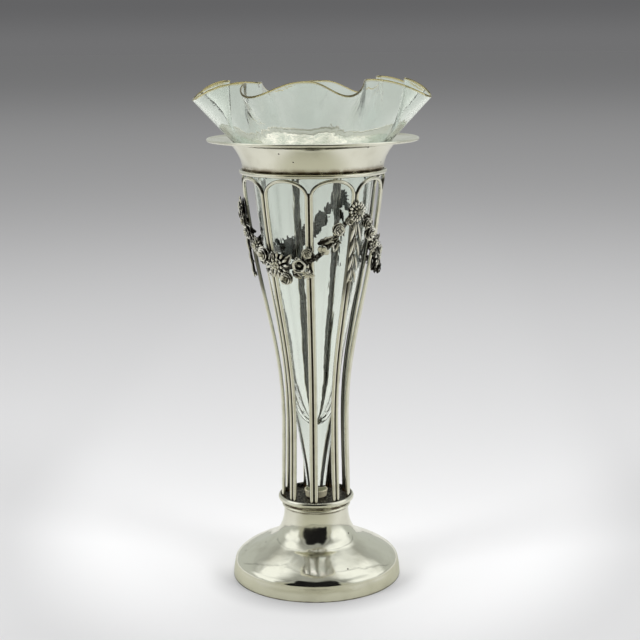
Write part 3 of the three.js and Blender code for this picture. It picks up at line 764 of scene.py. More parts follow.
def crimp_at(degrees):
    """Lean and reach of the rim at an angle."""
    marks = np.vstack([CRIMPS[-1] - (360, 0, 0), CRIMPS, CRIMPS[0] + (360, 0, 0)])
    after = np.searchsorted(marks[:, 0], degrees, side="right")
    start, end = marks[after - 1], marks[after]
    share = (1 - math.cos(math.pi * (degrees - start[0]) / (end[0] - start[0]))) / 2
    return start[1:] + (end[1:] - start[1:]) * share


def bowl_line(degrees):
    """Outside of the bowl at one angle, and how far it leans at each point."""
    end_lean, reach = crimp_at(degrees)
    share = np.linspace(0, 1, BOWL_STEPS + 1)
    lean = np.radians(SEAT_LEAN + (end_lean - SEAT_LEAN) * smooth((share + 0.083) / CRIMP_START))
    step = BOWL_SLANT * reach / BOWL_STEPS
    middle = (lean[1:] + lean[:-1]) / 2
    path = np.column_stack([np.cumsum(step * np.sin(middle)), np.cumsum(step * np.cos(middle))])
    return np.array(BOWL_BASE) + path, lean[1:]


rim_heights = [bowl_line(degrees)[0][-1, 1] for degrees in CRIMPS[:, 0]]
print("glass: rim", round(min(rim_heights), 1), "to", round(max(rim_heights), 1), "mm high")

# %% [markdown]
# ## The flute and the well
#
# Below the bowl the glass is round: a long flute that follows the cage, a solid stem, and inside it a
# round-bottomed well that narrows downward. Its side line is taken from the cage, so that the gap to the
# wires stays the same all the way up, and it is drawn outside and inside, from the tip to the bowl.

# %% Outline of the glass
LINER_WALL = 1.4
LINER_GAP = 3.2
TIP_RADIUS = 4.1
TIP_FOOT = 35.5
TIP_TOP = 38.1
TIP_CORNER = [(1.6, 0.0), (0.6, 0.15), (0.15, 0.6), (0.0, 1.2)]
STEM_TOP = 86.4
WELL_FOOT = 67.5

flute_heights = np.linspace(STEM_TOP, CAGE_TOP, 40)
flute = np.column_stack([cage_radius(flute_heights) - WIRE_DIAMETER / 2 - LINER_GAP, flute_heights])
throat = bend(flute[-1], BOWL_BASE, [(0.12, 0.33), (0.53, 0.76)], 14)[1:]
stem = bend((TIP_RADIUS, TIP_TOP), flute[0], [(0.15, 0.3), (0.8, 0.72)], 34)[:-1]
tip = [(0, TIP_FOOT)] + [(TIP_RADIUS - inset, TIP_FOOT + rise) for inset, rise in TIP_CORNER]
glass_outside = np.vstack([tip, stem, flute, throat])
body_inside = walled(np.vstack([flute, throat]), LINER_WALL)[::-1]
well_radius, well_top = body_inside[-1]
well_share = np.linspace(1, 0, 30)[1:]
well = np.column_stack([well_radius * well_share, WELL_FOOT + (well_top - WELL_FOOT) * well_share ** 2])
glass_inside = np.vstack([body_inside, well])
print("glass: well from", WELL_FOOT, "mm up,", round(2 * well_radius, 1), "mm across where the flute begins")

# %% [markdown]
# ## The skin of the glass
#
# The wall is real, because only a wall with two faces bends light as glass does. The outside is drawn for
# each angle, the inside is the same line moved in by the wall, which thins toward the rim, and a round lip
# joins them. The folds differ at every angle, so the lathe can't make this: the points are laid in rings,
# and a skin goes over the rings with a fan of triangles on each end.

# %% Skin the glass
RIM_WALL = 0.9
GLASS_STEPS = 288
LIP_STEPS = 9


def ring_faces(rows, steps):
    """Faces between rows of points that go round and close on themselves."""
    row, step = np.meshgrid(np.arange(rows - 1), np.arange(steps), indexing="ij")
    after = (step + 1) % steps
    corners = [row * steps + step, row * steps + after, (row + 1) * steps + after, (row + 1) * steps + step]
    return np.stack(corners, axis=-1).reshape(-1, 4)


def skinned(rings, ends):
    """Points and faces of rings with a fan on each end."""
    rows, steps = rings.shape[:2]
    faces = ring_faces(rows, steps).tolist()
    first, last, base = rows * steps, rows * steps + 1, (rows - 1) * steps
    for step in range(steps):
        after = (step + 1) % steps
        faces += [[first, after, step], [last, base + step, base + after]]
    return np.vstack([rings.reshape(-1, 3), ends]), faces


def glass_meridian(degrees):
    outside, lean = bowl_line(degrees)
    inward = np.column_stack([-np.cos(lean), np.sin(lean)])
    wall = LINER_WALL + (RIM_WALL - LINER_WALL) * smooth(np.linspace(-0.9, 1, BOWL_STEPS))[:, None]
    inside = outside + wall * inward
    middle = (outside[-1] + inside[-1]) / 2
    along = np.array([math.sin(lean[-1]), math.cos(lean[-1])])
    turn = np.linspace(0, math.pi, LIP_STEPS + 2)[1:-1, None]
    lip = middle + RIM_WALL * 0.56 * (along * np.sin(turn) - inward[-1] * np.cos(turn))
    return np.vstack([glass_outside, outside, lip, inside[::-1], glass_inside])


def glass_mesh():
    degrees = np.arange(GLASS_STEPS) * 360 / GLASS_STEPS
    lines = np.array([glass_meridian(angle) for angle in degrees])
    rings = on_vase(lines[:, :, 0], np.radians(degrees)[:, None], lines[:, :, 1]).transpose(1, 0, 2)
    made = plain_mesh("glass", *skinned(rings[1:-1], [rings[0, 0], rings[-1, 0]]))
    from_lip = np.abs(np.arange(1, len(rings) - 1) - len(glass_outside) - BOWL_STEPS - LIP_STEPS / 2)
    lip = np.repeat(smooth(LIP_STEPS / 2 + 1 - from_lip), GLASS_STEPS)
    keep_marks(made, "lip", np.append(lip, [0, 0]))
    return made


# %% [markdown]
# ## Clear glass
#
# Old glass is a faint grey green, drawn into slight streaks as it was blown, and olive at the lip, where
# one looks along the wall. The shader is clear transmission with an absorbing volume, streaks as a bump
# that is longest up and down, and a lip tinted by its attribute, which also gives the lip a faint painted
# glow. The Specular Tint holds back the mirror part a little, so that the dark posts behind stay dark
# through four faces of glass.

# %% Blow the glass
CLEAR = (0.985, 1.0, 0.985, 1)
OLIVE = (0.48, 0.40, 0.18, 1)
# The colour of the faint painted glow at the lip.
OLIVE_GLOW = (0.06, 0.05, 0.02, 1)
GLASS_TINT = (0.70, 0.80, 0.68, 1)
GLASS_DENSITY = 9.0
STREAK_SQUEEZE = 0.12
STREAK_DEPTH = 0.13


def glass_finish():
    material, shader, place = start_finish(
        "clear_glass", Transmission_Weight=1.0, Roughness=0.0, IOR=1.5, Specular_Tint=(0.7, 0.7, 0.7, 1),
        Emission_Strength=1.0)
    lip = marked(place, "lip")
    drawn = place.vector("MULTIPLY", (1, 1, STREAK_SQUEEZE))
    streaks = drawn.noise(6.0, 2.0) + drawn.noise(1.6, 2.0) * 0.18
    bumped(place, streaks * (1.0 - lip), STREAK_DEPTH).into(shader, "Normal")
    lip.blend(CLEAR, OLIVE).into(shader, "Base Color")
    # Painted glow: the lip gives off a faint olive light of its own.
    lip.blend((0, 0, 0, 1), OLIVE_GLOW).into(shader, "Emission Color")
    absorbing = place.node("ShaderNodeVolumeAbsorption", inputs={
        "Color": GLASS_TINT, "Density": GLASS_DENSITY})
    absorbing.into(material.node_tree.nodes["Material Output"], "Volume")
    return material


glass_data = glass_mesh()
glass_data.materials.append(glass_finish())
glass_data.shade_smooth()
dressed(in_scene("glass", glass_data), "clear_glass", "liner", "glass_liner")

# %% [markdown]
# ## Shapes for the castings
#
# The swags are cast in moulds: thin petals and leaves with soft edges, black in the hollows and bright on
# top.
# Every petal or leaf here is a closed lens: a row of small ellipses along a line, wide in the middle
# and thin at the edge. It could be sculpted, but a formula gives every petal few faces and a shape that can
# be set. Each point also keeps a number, its relief, which is 1 on a proud edge and 0 in a hollow, and
# low on the underside and at the side edges; the dark it brings is oxide and painted shade.

# %% Petals and leaves as lenses
def closed_rings(rings, relief):
    """A skin over rows of rings, with its relief."""
    points, faces = skinned(rings, [rings[0].mean(0), rings[-1].mean(0)])
    marks = np.concatenate([relief.reshape(-1), [relief[0].mean(), relief[-1].mean()]])
    return points, [face[::-1] for face in faces], marks


def lens(length, width, thick, rise, cup=0.0, groove=0.0, waist=0.55, ripple=0.0, root=0.15,
         rows=9, around=12):
    """A petal or leaf along +Y from the origin, which lies at rise[0] + rise[1] u + rise[2] u u."""
    u = np.linspace(0.0, 1.0, rows)[:, None]
    turn = np.linspace(0, math.tau, around, endpoint=False)[None, :]
    plan = np.sin(math.pi * np.clip(u, 0.03, 0.985) ** (math.log(0.5) / math.log(waist))) ** 0.75
    half = width / 2 * np.maximum(plan, 0.16)
    aside = np.cos(turn) * np.ones_like(u)
    up = np.sin(turn) * np.ones_like(u)
    edge = 1 + ripple * np.cos(7 * math.pi * u) * np.abs(aside) ** 3
    level = rise[0] + rise[1] * u + rise[2] * u * u
    level = level + cup * width * aside ** 2 * plan - groove * np.exp(-(aside / 0.3) ** 2) * plan
    z = level + thick / 2 * up * (0.35 + 0.65 * plan)
    points = np.stack([half * aside * edge, length * u * np.ones_like(aside), z], axis=-1)
    # The underside keeps a tenth of its relief, painted shade as well as tarnish; the side edges are darker
    # too.
    proud = (root + (1 - root) * u ** 0.8) * np.where(up > -0.2, 1.0, 0.1)
    proud = proud * (1 - 0.8 * (np.abs(aside) > 0.95))
    proud = proud * (1 - 0.75 * (groove > 0) * np.exp(-(aside / 0.28) ** 2))
    return closed_rings(points, proud)


def dome(radius, height, rows=7, around=18, base=0.0, mark=0.75):
    """A round button."""
    turn = np.linspace(0, math.pi / 2 * 0.97, rows)[:, None]
    angle = np.linspace(0, math.tau, around, endpoint=False)[None, :]
    points = np.stack([radius * np.cos(turn) * np.cos(angle), radius * np.cos(turn) * np.sin(angle),
                       base + height * np.sin(turn) * np.ones_like(angle)], axis=-1)
    relief = (0.15 + mark * np.sin(turn)) * np.ones_like(angle)
    return closed_rings(points[:, ::-1], relief)


print("a petal has", len(lens(3, 1, 0.5, (0, 0, 0))[1]), "faces and a button", len(dome(1, 1)[1]))

# %% [markdown]
# ## Gathering shapes into a casting
#
# A modeller presses wax petals together before the mould is made, and `Casting` does the same with points
# and faces: each shape is added with a seat, a matrix that turns and moves it. Joining objects in Blender
# would work too, but plain arrays are quicker and keep the relief in step with the points.

# %% Seats and castings
def turn_about(axis, degrees):
    c, s = math.cos(math.radians(degrees)), math.sin(math.radians(degrees))
    made = np.eye(4)
    i, j = {"x": (1, 2), "y": (2, 0), "z": (0, 1)}[axis]
    made[i, i], made[i, j], made[j, i], made[j, j] = c, -s, s, c
    return made


def moved(x, y, z):
    made = np.eye(4)
    made[:3, 3] = (x, y, z)
    return made


class Casting:
    """Shapes gathered into one cast piece."""

    def __init__(self):
        self.points = np.zeros((0, 3))
        self.faces = []
        self.relief = np.zeros(0)

    def add(self, shape, seat=None, shade=1.0):
        points, faces, relief = shape
        if seat is not None:
            points = points @ seat[:3, :3].T + seat[:3, 3]
        base = len(self.points)
        self.points = np.vstack([self.points, points])
        self.faces += [[base + corner for corner in face] for face in faces]
        self.relief = np.concatenate([self.relief, relief * shade])
        return self

    @property
    def shape(self):
        return self.points, self.faces, self.relief

    def mesh(self, name, finish):
        made = plain_mesh(name, self.points, self.faces)
        keep_marks(made, "relief", self.relief)
        made.materials.append(finish)
        made.shade_smooth()
        return made


# %% [markdown]
# ## The cast finish
#
# Castings are too fine to polish all over: the proud edges are bright, and the hollows are dark with oxide
# and with painted shade. The relief of each point, broken up by a fine grain, decides between the two. Baked
# occlusion would be the usual way, but the relief is known from the start, so nothing has to be baked.

# %% Oxide and painted shade in the hollows
CAST_BRIGHT = (0.82, 0.81, 0.75, 1)
CAST_OXIDE_AND_SHADE = (0.020, 0.017, 0.014, 1)


def cast_finish():
    material, shader, place = start_finish("cast_silver", Metallic=1.0)
    grain = place.noise(0.9, 3.0)
    # Low relief is painted dark: oxide and painted shade, as baked occlusion would give.
    lit_and_clean = (marked(place, "relief") + (grain - 0.5) * 0.5).ramp(0.26, 0.62)
    metal = place.noise(4.0, 3.0).ramp(0.4, 0.7).blend(CAST_BRIGHT, DULL_SILVER)
    lit_and_clean.blend(CAST_OXIDE_AND_SHADE, metal).into(shader, "Base Color")
    (0.46 - lit_and_clean * 0.30 + grain * 0.06).into(shader, "Roughness")
    bumped(place, grain, 0.06).into(shader, "Normal")
    return material


CAST = cast_finish()


def cast_piece(casting, name, k):
    """Put a finished casting in the scene as the one with that number."""
    piece = in_scene(f"{name}.{k + 1}", casting.mesh(name, CAST))
    dressed(piece, "cast_silver", "frame", f"{name}_{k + 1}")


# %% [markdown]
# ## Daisies and roses
#
# A caster keeps a few patterns and repeats them. There are eight here, each made lying flat and facing +Z,
# with a radius or length of its own. The first three are rings of petals round a middle: a daisy with long
# narrow petals and black gaps, a rose with whorls that stand steeper toward the middle, and a round bud,
# which is a rose that is nearly closed.

# %% Round flowers
def petals(casting, count, reach, width, thick, rise, start=0.0, first=0.0, **shape):
    """Lenses set round the middle."""
    petal = lens(reach - start, width, thick, rise, **shape)
    for k in range(count):
        casting.add(petal, turn_about("z", first + 360 * k / count) @ moved(0, start, 0))


def daisy(radius, count=13):
    made = Casting()
    wide = 0.62 * math.tau * 0.75 * radius / count
    petals(made, count, radius, wide, 0.9, (1.0, 1.2, -1.1), 0.25 * radius, waist=0.7)
    petals(made, 8, 0.58 * radius, wide, 0.8, (1.4, 1.4, -0.9), 0.15 * radius, 11, waist=0.62)
    # A dark plate behind the petals: painted shade in the gaps, and oxide.
    made.add(dome(0.8 * radius, 1.0, base=0.0, mark=-0.15))
    closed = {"cup": -0.1, "waist": 0.6}
    petals(made, 5, 0.32 * radius, 0.36 * radius, 0.8, (1.6, 2.2, -1.4), 0.04 * radius, 20, **closed)
    made.add(dome(0.15 * radius, 0.2 * radius, base=1.9, mark=0.8))
    return made.shape


def rose(radius, whorls=((5, 1.0, 0.35), (5, 0.76, 0.75), (4, 0.52, 1.1))):
    made = Casting()
    made.add(dome(0.62 * radius, 1.2 + 0.25 * radius, mark=0.05))
    for level, (count, share, steep) in enumerate(whorls):
        reach = share * radius
        rise = (0.5 + 0.5 * level, steep * reach * 1.5, -steep * reach * 0.75)
        petals(made, count, reach, 1.28 * reach, 0.55, rise, 0.1 * radius, 33 * level, cup=0.16, waist=0.7)
    made.add(dome(0.2 * radius, 0.5 * radius, 6, 12, base=1.3 + 0.2 * radius, mark=0.7))
    return made.shape


def round_bud(radius):
    return rose(radius, ((5, 1.0, 0.5), (5, 0.92, 0.95), (4, 0.72, 1.35)))


print("a daisy has", len(daisy(4.5)[1]), "faces and a rose", len(rose(3)[1]))

# %% [markdown]
# ## Cups, shells and bells
#
# Three more patterns break up the rows of round flowers. The cup is a bud just opened, with a thick rim
# and a dark hollow, so it is one outline of rings with a slight wave. The shell is a fan of ribbed petals,
# and the bell is a bellflower from the side, with broad petals out of a round calyx on a stalk.

# %% Open flowers
CUP_LINE = np.array([(0.25, 0.2), (0.62, 0.55), (0.86, 1.2), (0.92, 1.75), (0.84, 2.0), (0.68, 1.9),
                     (0.55, 1.3), (0.3, 0.95), (0.05, 0.9)])
CUP_RELIEF = np.array([0.2, 0.6, 0.85, 1, 1, 0.9, 0.25, 0.05, 0.0])


def open_cup(radius):
    made = Casting()
    angle = np.linspace(0, math.tau, 24, endpoint=False)[None, :]
    across = radius * CUP_LINE[:, :1] * (1 + 0.06 * np.cos(5 * angle))
    up = CUP_LINE[:, 1:] * 0.33 * radius * 1.6 * np.ones_like(angle)
    points = np.stack([across * np.cos(angle), across * np.sin(angle), up], axis=-1)
    made.add(closed_rings(points[:, ::-1], CUP_RELIEF[:, None] * np.ones_like(angle)))
    made.add(dome(0.26 * radius, 0.35 * radius, 5, 10, base=0.5 * radius, mark=0.6))
    frill = {"cup": 0.1, "waist": 0.62}
    petals(made, 6, 1.08 * radius, 0.8 * radius, 0.5, (0.3, 0.5, 0.1), 0.3 * radius, 15, **frill)
    return made.shape


def shell(radius, count=6, spread=150):
    made = Casting()
    wide = 0.8 * math.radians(spread) * radius / count
    petal = lens(1.25 * radius, wide, 0.9, (1.0, 2.6, -2.2), waist=0.7)
    for k in range(count):
        made.add(petal, turn_about("z", spread * (k / (count - 1) - 0.5)) @ moved(0, -0.2 * radius, 0))
    made.add(dome(0.36 * radius, 0.7 * radius, mark=0.8))
    return made.shape


def bell(radius):
    made = Casting()
    petal = lens(1.5 * radius, 0.85 * radius, 0.8, (1.0, 2.4, -1.4), cup=0.12, waist=0.68)
    for side in (-38, 38, 0):
        made.add(petal, turn_about("z", side) @ moved(0, -0.2 * radius, 0.3 * (side == 0)))
    made.add(dome(0.45 * radius, 0.7 * radius, mark=0.5))
    made.add(lens(1.6 * radius, 0.9, 0.9, (0.9, 0, 0), waist=0.4), turn_about("z", 160))
    return made.shape


# %% [markdown]
# ## Leaves and husks
#
# A leaf is one lens with a sunk midrib, notched edges and a tip that bends down. A husk, the bellflower of
# the hanging drops, has two long petals that part below and a thin rib in the hollow between them, where a
# nearly black lens stands for the painted shade and oxide there. Few lenses are enough, because at this size
# the eye reads the dark gaps and not the veins.

# %% Leaves and husks
def leaf(length, width, arch=0.9):
    blade = lens(length, width, 0.55, (0.5, 4 * arch, -3 * arch), cup=0.14, groove=0.3, waist=0.42,
                 ripple=0.14, rows=13, around=14)
    return Casting().add(blade, moved(0, -length / 2, 0)).shape


def husk(length, width):
    made = Casting()
    top = moved(0, 0.5 * length, 0)
    petal = lens(0.9 * length, 0.34 * width, 0.85, (0.6, 2.6, -1.9), waist=0.5, root=0.25, rows=11)
    for side in (-1, 1):
        made.add(petal, top @ turn_about("z", 180 + 13 * side) @ turn_about("y", -18 * side))
    # A nearly black lens in the hollow: painted shade, and oxide.
    hollow_shade = lens(0.8 * length, 0.6 * width, 0.6, (0.3, 0.9, -0.7), waist=0.62)
    made.add(hollow_shade, top @ turn_about("z", 180), shade=0.05)
    rib = lens(0.62 * length, 0.16 * width, 0.7, (0.9, 1.2, -1.2), waist=0.5, root=0.3)
    made.add(rib, moved(0, 0.42 * length, 0) @ turn_about("z", 180))
    made.add(dome(0.16 * width, 1.1, 5, 10, mark=0.7), moved(0, 0.45 * length, 0))
    return made.shape


print("a leaf has", len(leaf(6, 3)[1]), "faces and a husk", len(husk(10, 4.8)[1]))

# %% [markdown]
# ## Places on the cage
#
# Every casting is soldered to the outside of the wires. `on_cage` gives the place and the three directions
# there, sideways, upward and outward, as one matrix, so a pattern made flat lands the right way round.
# Parenting each flower to an empty would do it by hand, but a matrix follows when the cage line changes.

# %% Seats on the wires
SOLDER_GAP = 0.3


def on_cage(angle, height, turn=0.0):
    reach = WIRE_DIAMETER / 2 + SOLDER_GAP
    place = on_vase(cage_radius(height) + reach, angle, height)
    upward = place - on_vase(cage_radius(height - 1) + reach, angle, height - 1)
    upward /= np.linalg.norm(upward)
    sideways = np.array([math.cos(angle), math.sin(angle), 0])
    seat = np.eye(4)
    seat[:3] = np.column_stack([sideways, upward, np.cross(sideways, upward), place])
    return seat @ turn_about("z", turn)


# %% [markdown]
# ## A ring of petals by rule
#
# A daisy rosette hides the joint where two swags meet. Its petals repeat round a middle, so Geometry Nodes
# set them there: the tree takes one petal, turns a copy of it for each place, and varies their lengths a
# little with a fixed seed, as hand-filed castings vary.

# %% The petal tree
def by_chance(start, low, high, seed):
    """A number between two others for each copy, from a fixed seed."""
    sizes = {2: low, 3: high, "Seed": seed}
    return start.node("FunctionNodeRandomValue", {"data_type": "FLOAT"}, sizes, output=1)


def petal_tree():
    tree, given = new_tree("Petals round a middle", Petals="Int", Unevenness="Float", Seed="Int",
                           Finish="Material")
    petal, uneven = given["Geometry"], given["Unevenness"]
    stands, turn = spread_round(petal, given["Petals"])
    length = by_chance(petal, 1 - uneven, 1 + uneven, given["Seed"])
    copies = petal.node("GeometryNodeInstanceOnPoints", inputs={
        "Points": stands, "Instance": petal, "Rotation": turn, "Scale": petal.xyz(1.0, length, length)})
    return end_tree(tree, copies, given["Finish"])


PETALS = petal_tree()


def petal_ring(count, reach, width, rise, start, seed):
    """Points, faces and relief of a ring of petals, which is taken out of the scene again."""
    petal = lens(reach - start, width, 0.85, rise, waist=0.72)
    single = Casting().add(petal, moved(0, start, 0)).mesh("petal", CAST)
    ring = grown("petals", single, PETALS, Petals=count, Unevenness=0.06, Seed=seed, Finish=CAST)
    points = np.array([vertex.co for vertex in ring.data.vertices]) / MM
    faces = [list(face.vertices) for face in ring.data.polygons]
    relief = np.array([mark.value for mark in ring.data.attributes["relief"].data])
    bpy.data.objects.remove(ring)
    return points, faces, relief


# %% [markdown]
# ## Rosettes
#
# Each rosette has a long ring of petals, a short one on top of it, a black plate behind them that fills the
# gaps with painted shade and oxide, and a button covered with seeds in the middle. It is made once and set
# on three posts, turned a little each time so that the three don't look like copies.

# %% Make the rosettes
ROSETTE_RADIUS = 4.3
ROSETTE_HEIGHT = 161.9
SEED_ROWS = ((1, 0.0), (6, 0.42), (11, 0.8))


def seeded_middle(casting, radius, height, base):
    """A button covered with seeds, in rows of a count and a share of the radius."""
    casting.add(dome(radius, height, base=base, mark=0.2))
    seed = dome(0.17 * radius + 0.05, 0.3 + 0.08 * radius, 4, 8, mark=0.85)
    for count, share in SEED_ROWS:
        up = base + height * math.sqrt(1 - share ** 2) - 0.12
        for k in range(count):
            angle = math.tau * (k + 0.5 * (count > 6)) / count
            casting.add(seed, moved(share * radius * math.cos(angle), share * radius * math.sin(angle), up))


rosette = Casting()
rosette.add(petal_ring(16, ROSETTE_RADIUS, 1.2, (1.0, 1.4, -1.2), 1.1, 3))
rosette.add(petal_ring(10, 0.6 * ROSETTE_RADIUS, 0.95, (1.8, 1.2, -0.8), 0.8, 8), turn_about("z", 9))
# A dark plate behind the petals: painted shade in the gaps, and oxide.
rosette.add(dome(0.86 * ROSETTE_RADIUS, 0.9, mark=-0.15))
seeded_middle(rosette, 1.15, 0.7, 2.0)
for k, angle in enumerate(ROSETTE_ANGLES):
    cast_piece(Casting().add(rosette.shape, on_cage(angle, ROSETTE_HEIGHT, 7 * k)), "rosette", k)

# %% [markdown]
# ## Drops of husks
#
# Below each rosette hangs a drop of four bellflower husks, each a little smaller than the one above, ending
# in a bud. Each husk grows out of the parting of the one above it. An Array modifier keeps one size, so a
# short loop hangs them and lets the pitch shrink with the husk.

# %% Hang the drops
HUSK_LENGTHS = [10.6, 9.8, 8.9, 8.0]
HUSK_WIDTH = 4.8
HUSK_PITCH = 0.75
HUSK_OVERLAP = 0.8
DROP_TOP = 158.8

for k, angle in enumerate(ROSETTE_ANGLES):
    drop = Casting()
    top = DROP_TOP
    for length in HUSK_LENGTHS:
        width = HUSK_WIDTH * length / HUSK_LENGTHS[0]
        drop.add(husk(length, width), on_cage(angle, top - length / 2))
        top -= HUSK_PITCH * length - HUSK_OVERLAP
    drop.add(dome(0.9, 1.7, 7, 14), on_cage(angle, top - 0.6))
    cast_piece(drop, "husk_drop", k)

# %% [markdown]
# ## Swags
#
# A swag hangs from one rosette to the next in a curve that is lowest in the middle. Its flowers are placed
# one by one, as the modeller placed them in the wax: each row has a pattern, a place along the swag, from -1
# at the left to 1 at the right, a place across it, a size and a turn. A thin stem carries them.

# %% Lay out one swag
SWAG_LOW = 139.6
SWAG_DIP = 25.3
SWAG_END = 0.9
ROD_RADIUS = 1.15
ROD_TAPER = 0.35
ROD_WAVE = 0.5
ROD_PROUD = 1.1
FLOWERS = [
    (daisy, -0.18, -0.2, 5.9, 20), (round_bud, -0.02, -4.4, 2.8, 0), (open_cup, 0.19, 0.2, 3.2, 10),
    (rose, 0.30, 3.6, 2.3, 40), (shell, 0.31, -4.2, 3.1, 165), (bell, 0.50, -0.6, 2.9, -25),
    (rose, 0.73, 2.0, 2.9, 65), (rose, -0.40, 0.6, 3.5, 15), (daisy, -0.56, -0.2, 4.0, 0),
    (rose, -0.73, -0.6, 3.4, 30), (round_bud, -0.83, -0.4, 2.0, 0), (round_bud, 0.87, -0.4, 1.8, 0),
]
LEAVES = [
    (0.02, 3.2, 6.2, 3.0, -35), (0.56, 3.4, 7.2, 3.2, -62), (0.69, -2.6, 6.4, 3.2, 175),
    (-0.32, -4.4, 6.0, 2.9, 200), (-0.5, 3.4, 5.6, 2.8, 40), (-0.66, -3.2, 5.4, 2.6, 215),
    (0.62, 0.2, 5.6, 2.8, -80), (0.14, -3.4, 5.0, 2.5, 235), (-0.9, -0.6, 5.8, 2.6, -145),
]
LEAF_SHADE = 0.7


def swag_height(along):
    return SWAG_LOW + SWAG_DIP * along * along


def on_swag(middle, along, across, turn=0.0):
    return on_cage(middle + along * SWAG_HALF_ANGLE, swag_height(along) + across, turn)


def stem_shape(middle, steps=48, around=10):
    """The stem of the swag: a thin rod that rises and falls a little under the flowers."""
    turn = np.linspace(0, math.tau, around, endpoint=False)
    rings = []
    for along in np.linspace(-SWAG_END, SWAG_END, steps):
        run = SWAG_HALF_ANGLE * cage_radius(swag_height(along))
        slope = math.degrees(math.atan2(2 * SWAG_DIP * along, run))
        seat = on_swag(middle, along, ROD_WAVE * math.sin(9 * along), slope)
        radius = ROD_RADIUS - ROD_TAPER * along * along
        up = ROD_PROUD + 0.9 * radius * np.sin(turn)
        ring = np.column_stack([np.zeros(around), radius * np.cos(turn), up])
        rings.append(ring @ seat[:3, :3].T + seat[:3, 3])
    points = np.array(rings)
    return closed_rings(points[:, ::-1], np.full(points.shape[:2], 0.3))


for k, angle in enumerate(ROSETTE_ANGLES):
    middle = angle - SWAG_HALF_ANGLE
    swag = Casting().add(stem_shape(middle))
    for pattern, along, across, radius, turn in FLOWERS:
        swag.add(pattern(radius), on_swag(middle, along, across, turn))
    for along, across, length, width, turn in LEAVES:
        swag.add(leaf(length, width), on_swag(middle, along, across, turn), shade=LEAF_SHADE)
    cast_piece(swag, "swag", k)

# %% [markdown]
# ## Small foliage along the swags
#
# Between the flowers the castings are full of small leaves that follow the stem. Geometry Nodes are made
# for this: the tree walks along the stem's line, sets a small leaf every few millimetres with its face
# outward, and turns and sizes each one by chance from a fixed seed.

# %% The foliage tree
def foliage_tree():
    tree, given = new_tree("Leaves along a stem", Spacing="Float", Sprawl="Float", Leaf="Object", Seed="Int",
                           Finish="Material")
    line, sprawl, seed = given["Geometry"], given["Sprawl"], given["Seed"]
    path = line.node("GeometryNodeMeshToCurve", inputs={"Mesh": line})
    walk = line.node("GeometryNodeCurveToPoints", {"mode": "LENGTH"}, {
        "Curve": path, "Length": given["Spacing"]})
    outward = line.node("GeometryNodeInputPosition").vector("MULTIPLY", (1, 1, 0))
    facing = line.node("FunctionNodeAxesToRotation", {"primary_axis": "Z", "secondary_axis": "Y"}, {
        0: outward, 1: (0, 0, 1)})
    half_turn = line.node("GeometryNodeInputIndex").maths("MODULO", 2.0) * math.pi
    turn = line.xyz(0.25, 0.0, half_turn + by_chance(line, sprawl * -1.0, sprawl, seed))
    turned_leaf = line.node("FunctionNodeRotateRotation", {"rotation_space": "LOCAL"}, {0: facing, 1: turn})
    pattern = line.node("GeometryNodeObjectInfo", inputs={"Object": given["Leaf"]}, output=4)
    copies = line.node("GeometryNodeInstanceOnPoints", inputs={
        "Points": walk, "Instance": pattern, "Rotation": turned_leaf,
        "Scale": by_chance(line, 0.7, 1.15, seed + 1.0)})
    return end_tree(tree, copies, given["Finish"])


# %% [markdown]
# ## Growing the foliage
#
# The three stems are one starting mesh with three runs of edges, so a single run of the tree covers all of
# them. The leaf it repeats is a small, flat one with a dark relief, which is put in the scene for the tree
# to find and taken out afterwards.

# %% Grow the foliage
SMALL_LEAF = (4.2, 1.9)
LEAF_SPACING = 2.2
STEM_POINTS = 60

small_leaf = Casting().add(leaf(*SMALL_LEAF, arch=0.4), moved(0, SMALL_LEAF[0] / 2, 0.5), shade=0.6)
small_leaf = in_scene("small_leaf", small_leaf.mesh("small_leaf", CAST))
stems, stem_edges = [], []
for angle in ROSETTE_ANGLES:
    stem_edges += [(len(stems) + i, len(stems) + i + 1) for i in range(STEM_POINTS - 1)]
    for along in np.linspace(-SWAG_END, SWAG_END, STEM_POINTS):
        stems.append(on_swag(angle - SWAG_HALF_ANGLE, along, 0.0)[:3, 3])
foliage = grown("swag_foliage", plain_mesh("swag_stems", stems, edges=stem_edges), foliage_tree(),
                Spacing=LEAF_SPACING * MM, Sprawl=1.2, Leaf=small_leaf, Seed=5, Finish=CAST)
bpy.data.objects.remove(small_leaf)
dressed(foliage, "cast_silver", "frame")

# %% [markdown]
# ## What is hidden in the foot
#
# A hollow foot like this is weighted with plaster and covered with baize underneath. Both solids of the
# frame are the right shape already, so they stay and only get a finish: a chalky grain for the plaster,
# and a short nap with worn patches for the cloth.

# %% Plaster and baize
def plaster_finish():
    material, shader, place = start_finish("plaster", Roughness=0.95)
    grain = place.noise(0.7, 4.0)
    grain.blend((0.66, 0.63, 0.56, 1), (0.80, 0.77, 0.71, 1)).into(shader, "Base Color")
    bumped(place, grain, 0.15).into(shader, "Normal")
    return material


def baize_finish():
    material, shader, place = start_finish("baize", Roughness=1.0, Sheen_Weight=0.4)
    nap = place.noise(0.45, 5.0)
    fibres = (nap * 0.75 + place.noise(9.0, 2.0) * 0.25).ramp(0.3, 0.7)
    fibres.blend((0.012, 0.038, 0.020, 1), (0.045, 0.105, 0.058, 1)).into(shader, "Base Color")
    bumped(place, nap, 0.3).into(shader, "Normal")
    return material


for node, finish in (("foot_loading", plaster_finish()), ("base_pad", baize_finish())):
    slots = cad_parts[node].data.materials
    slots.clear()
    slots.append(finish)
    print(node, "keeps its solid, finished in", finish.name)

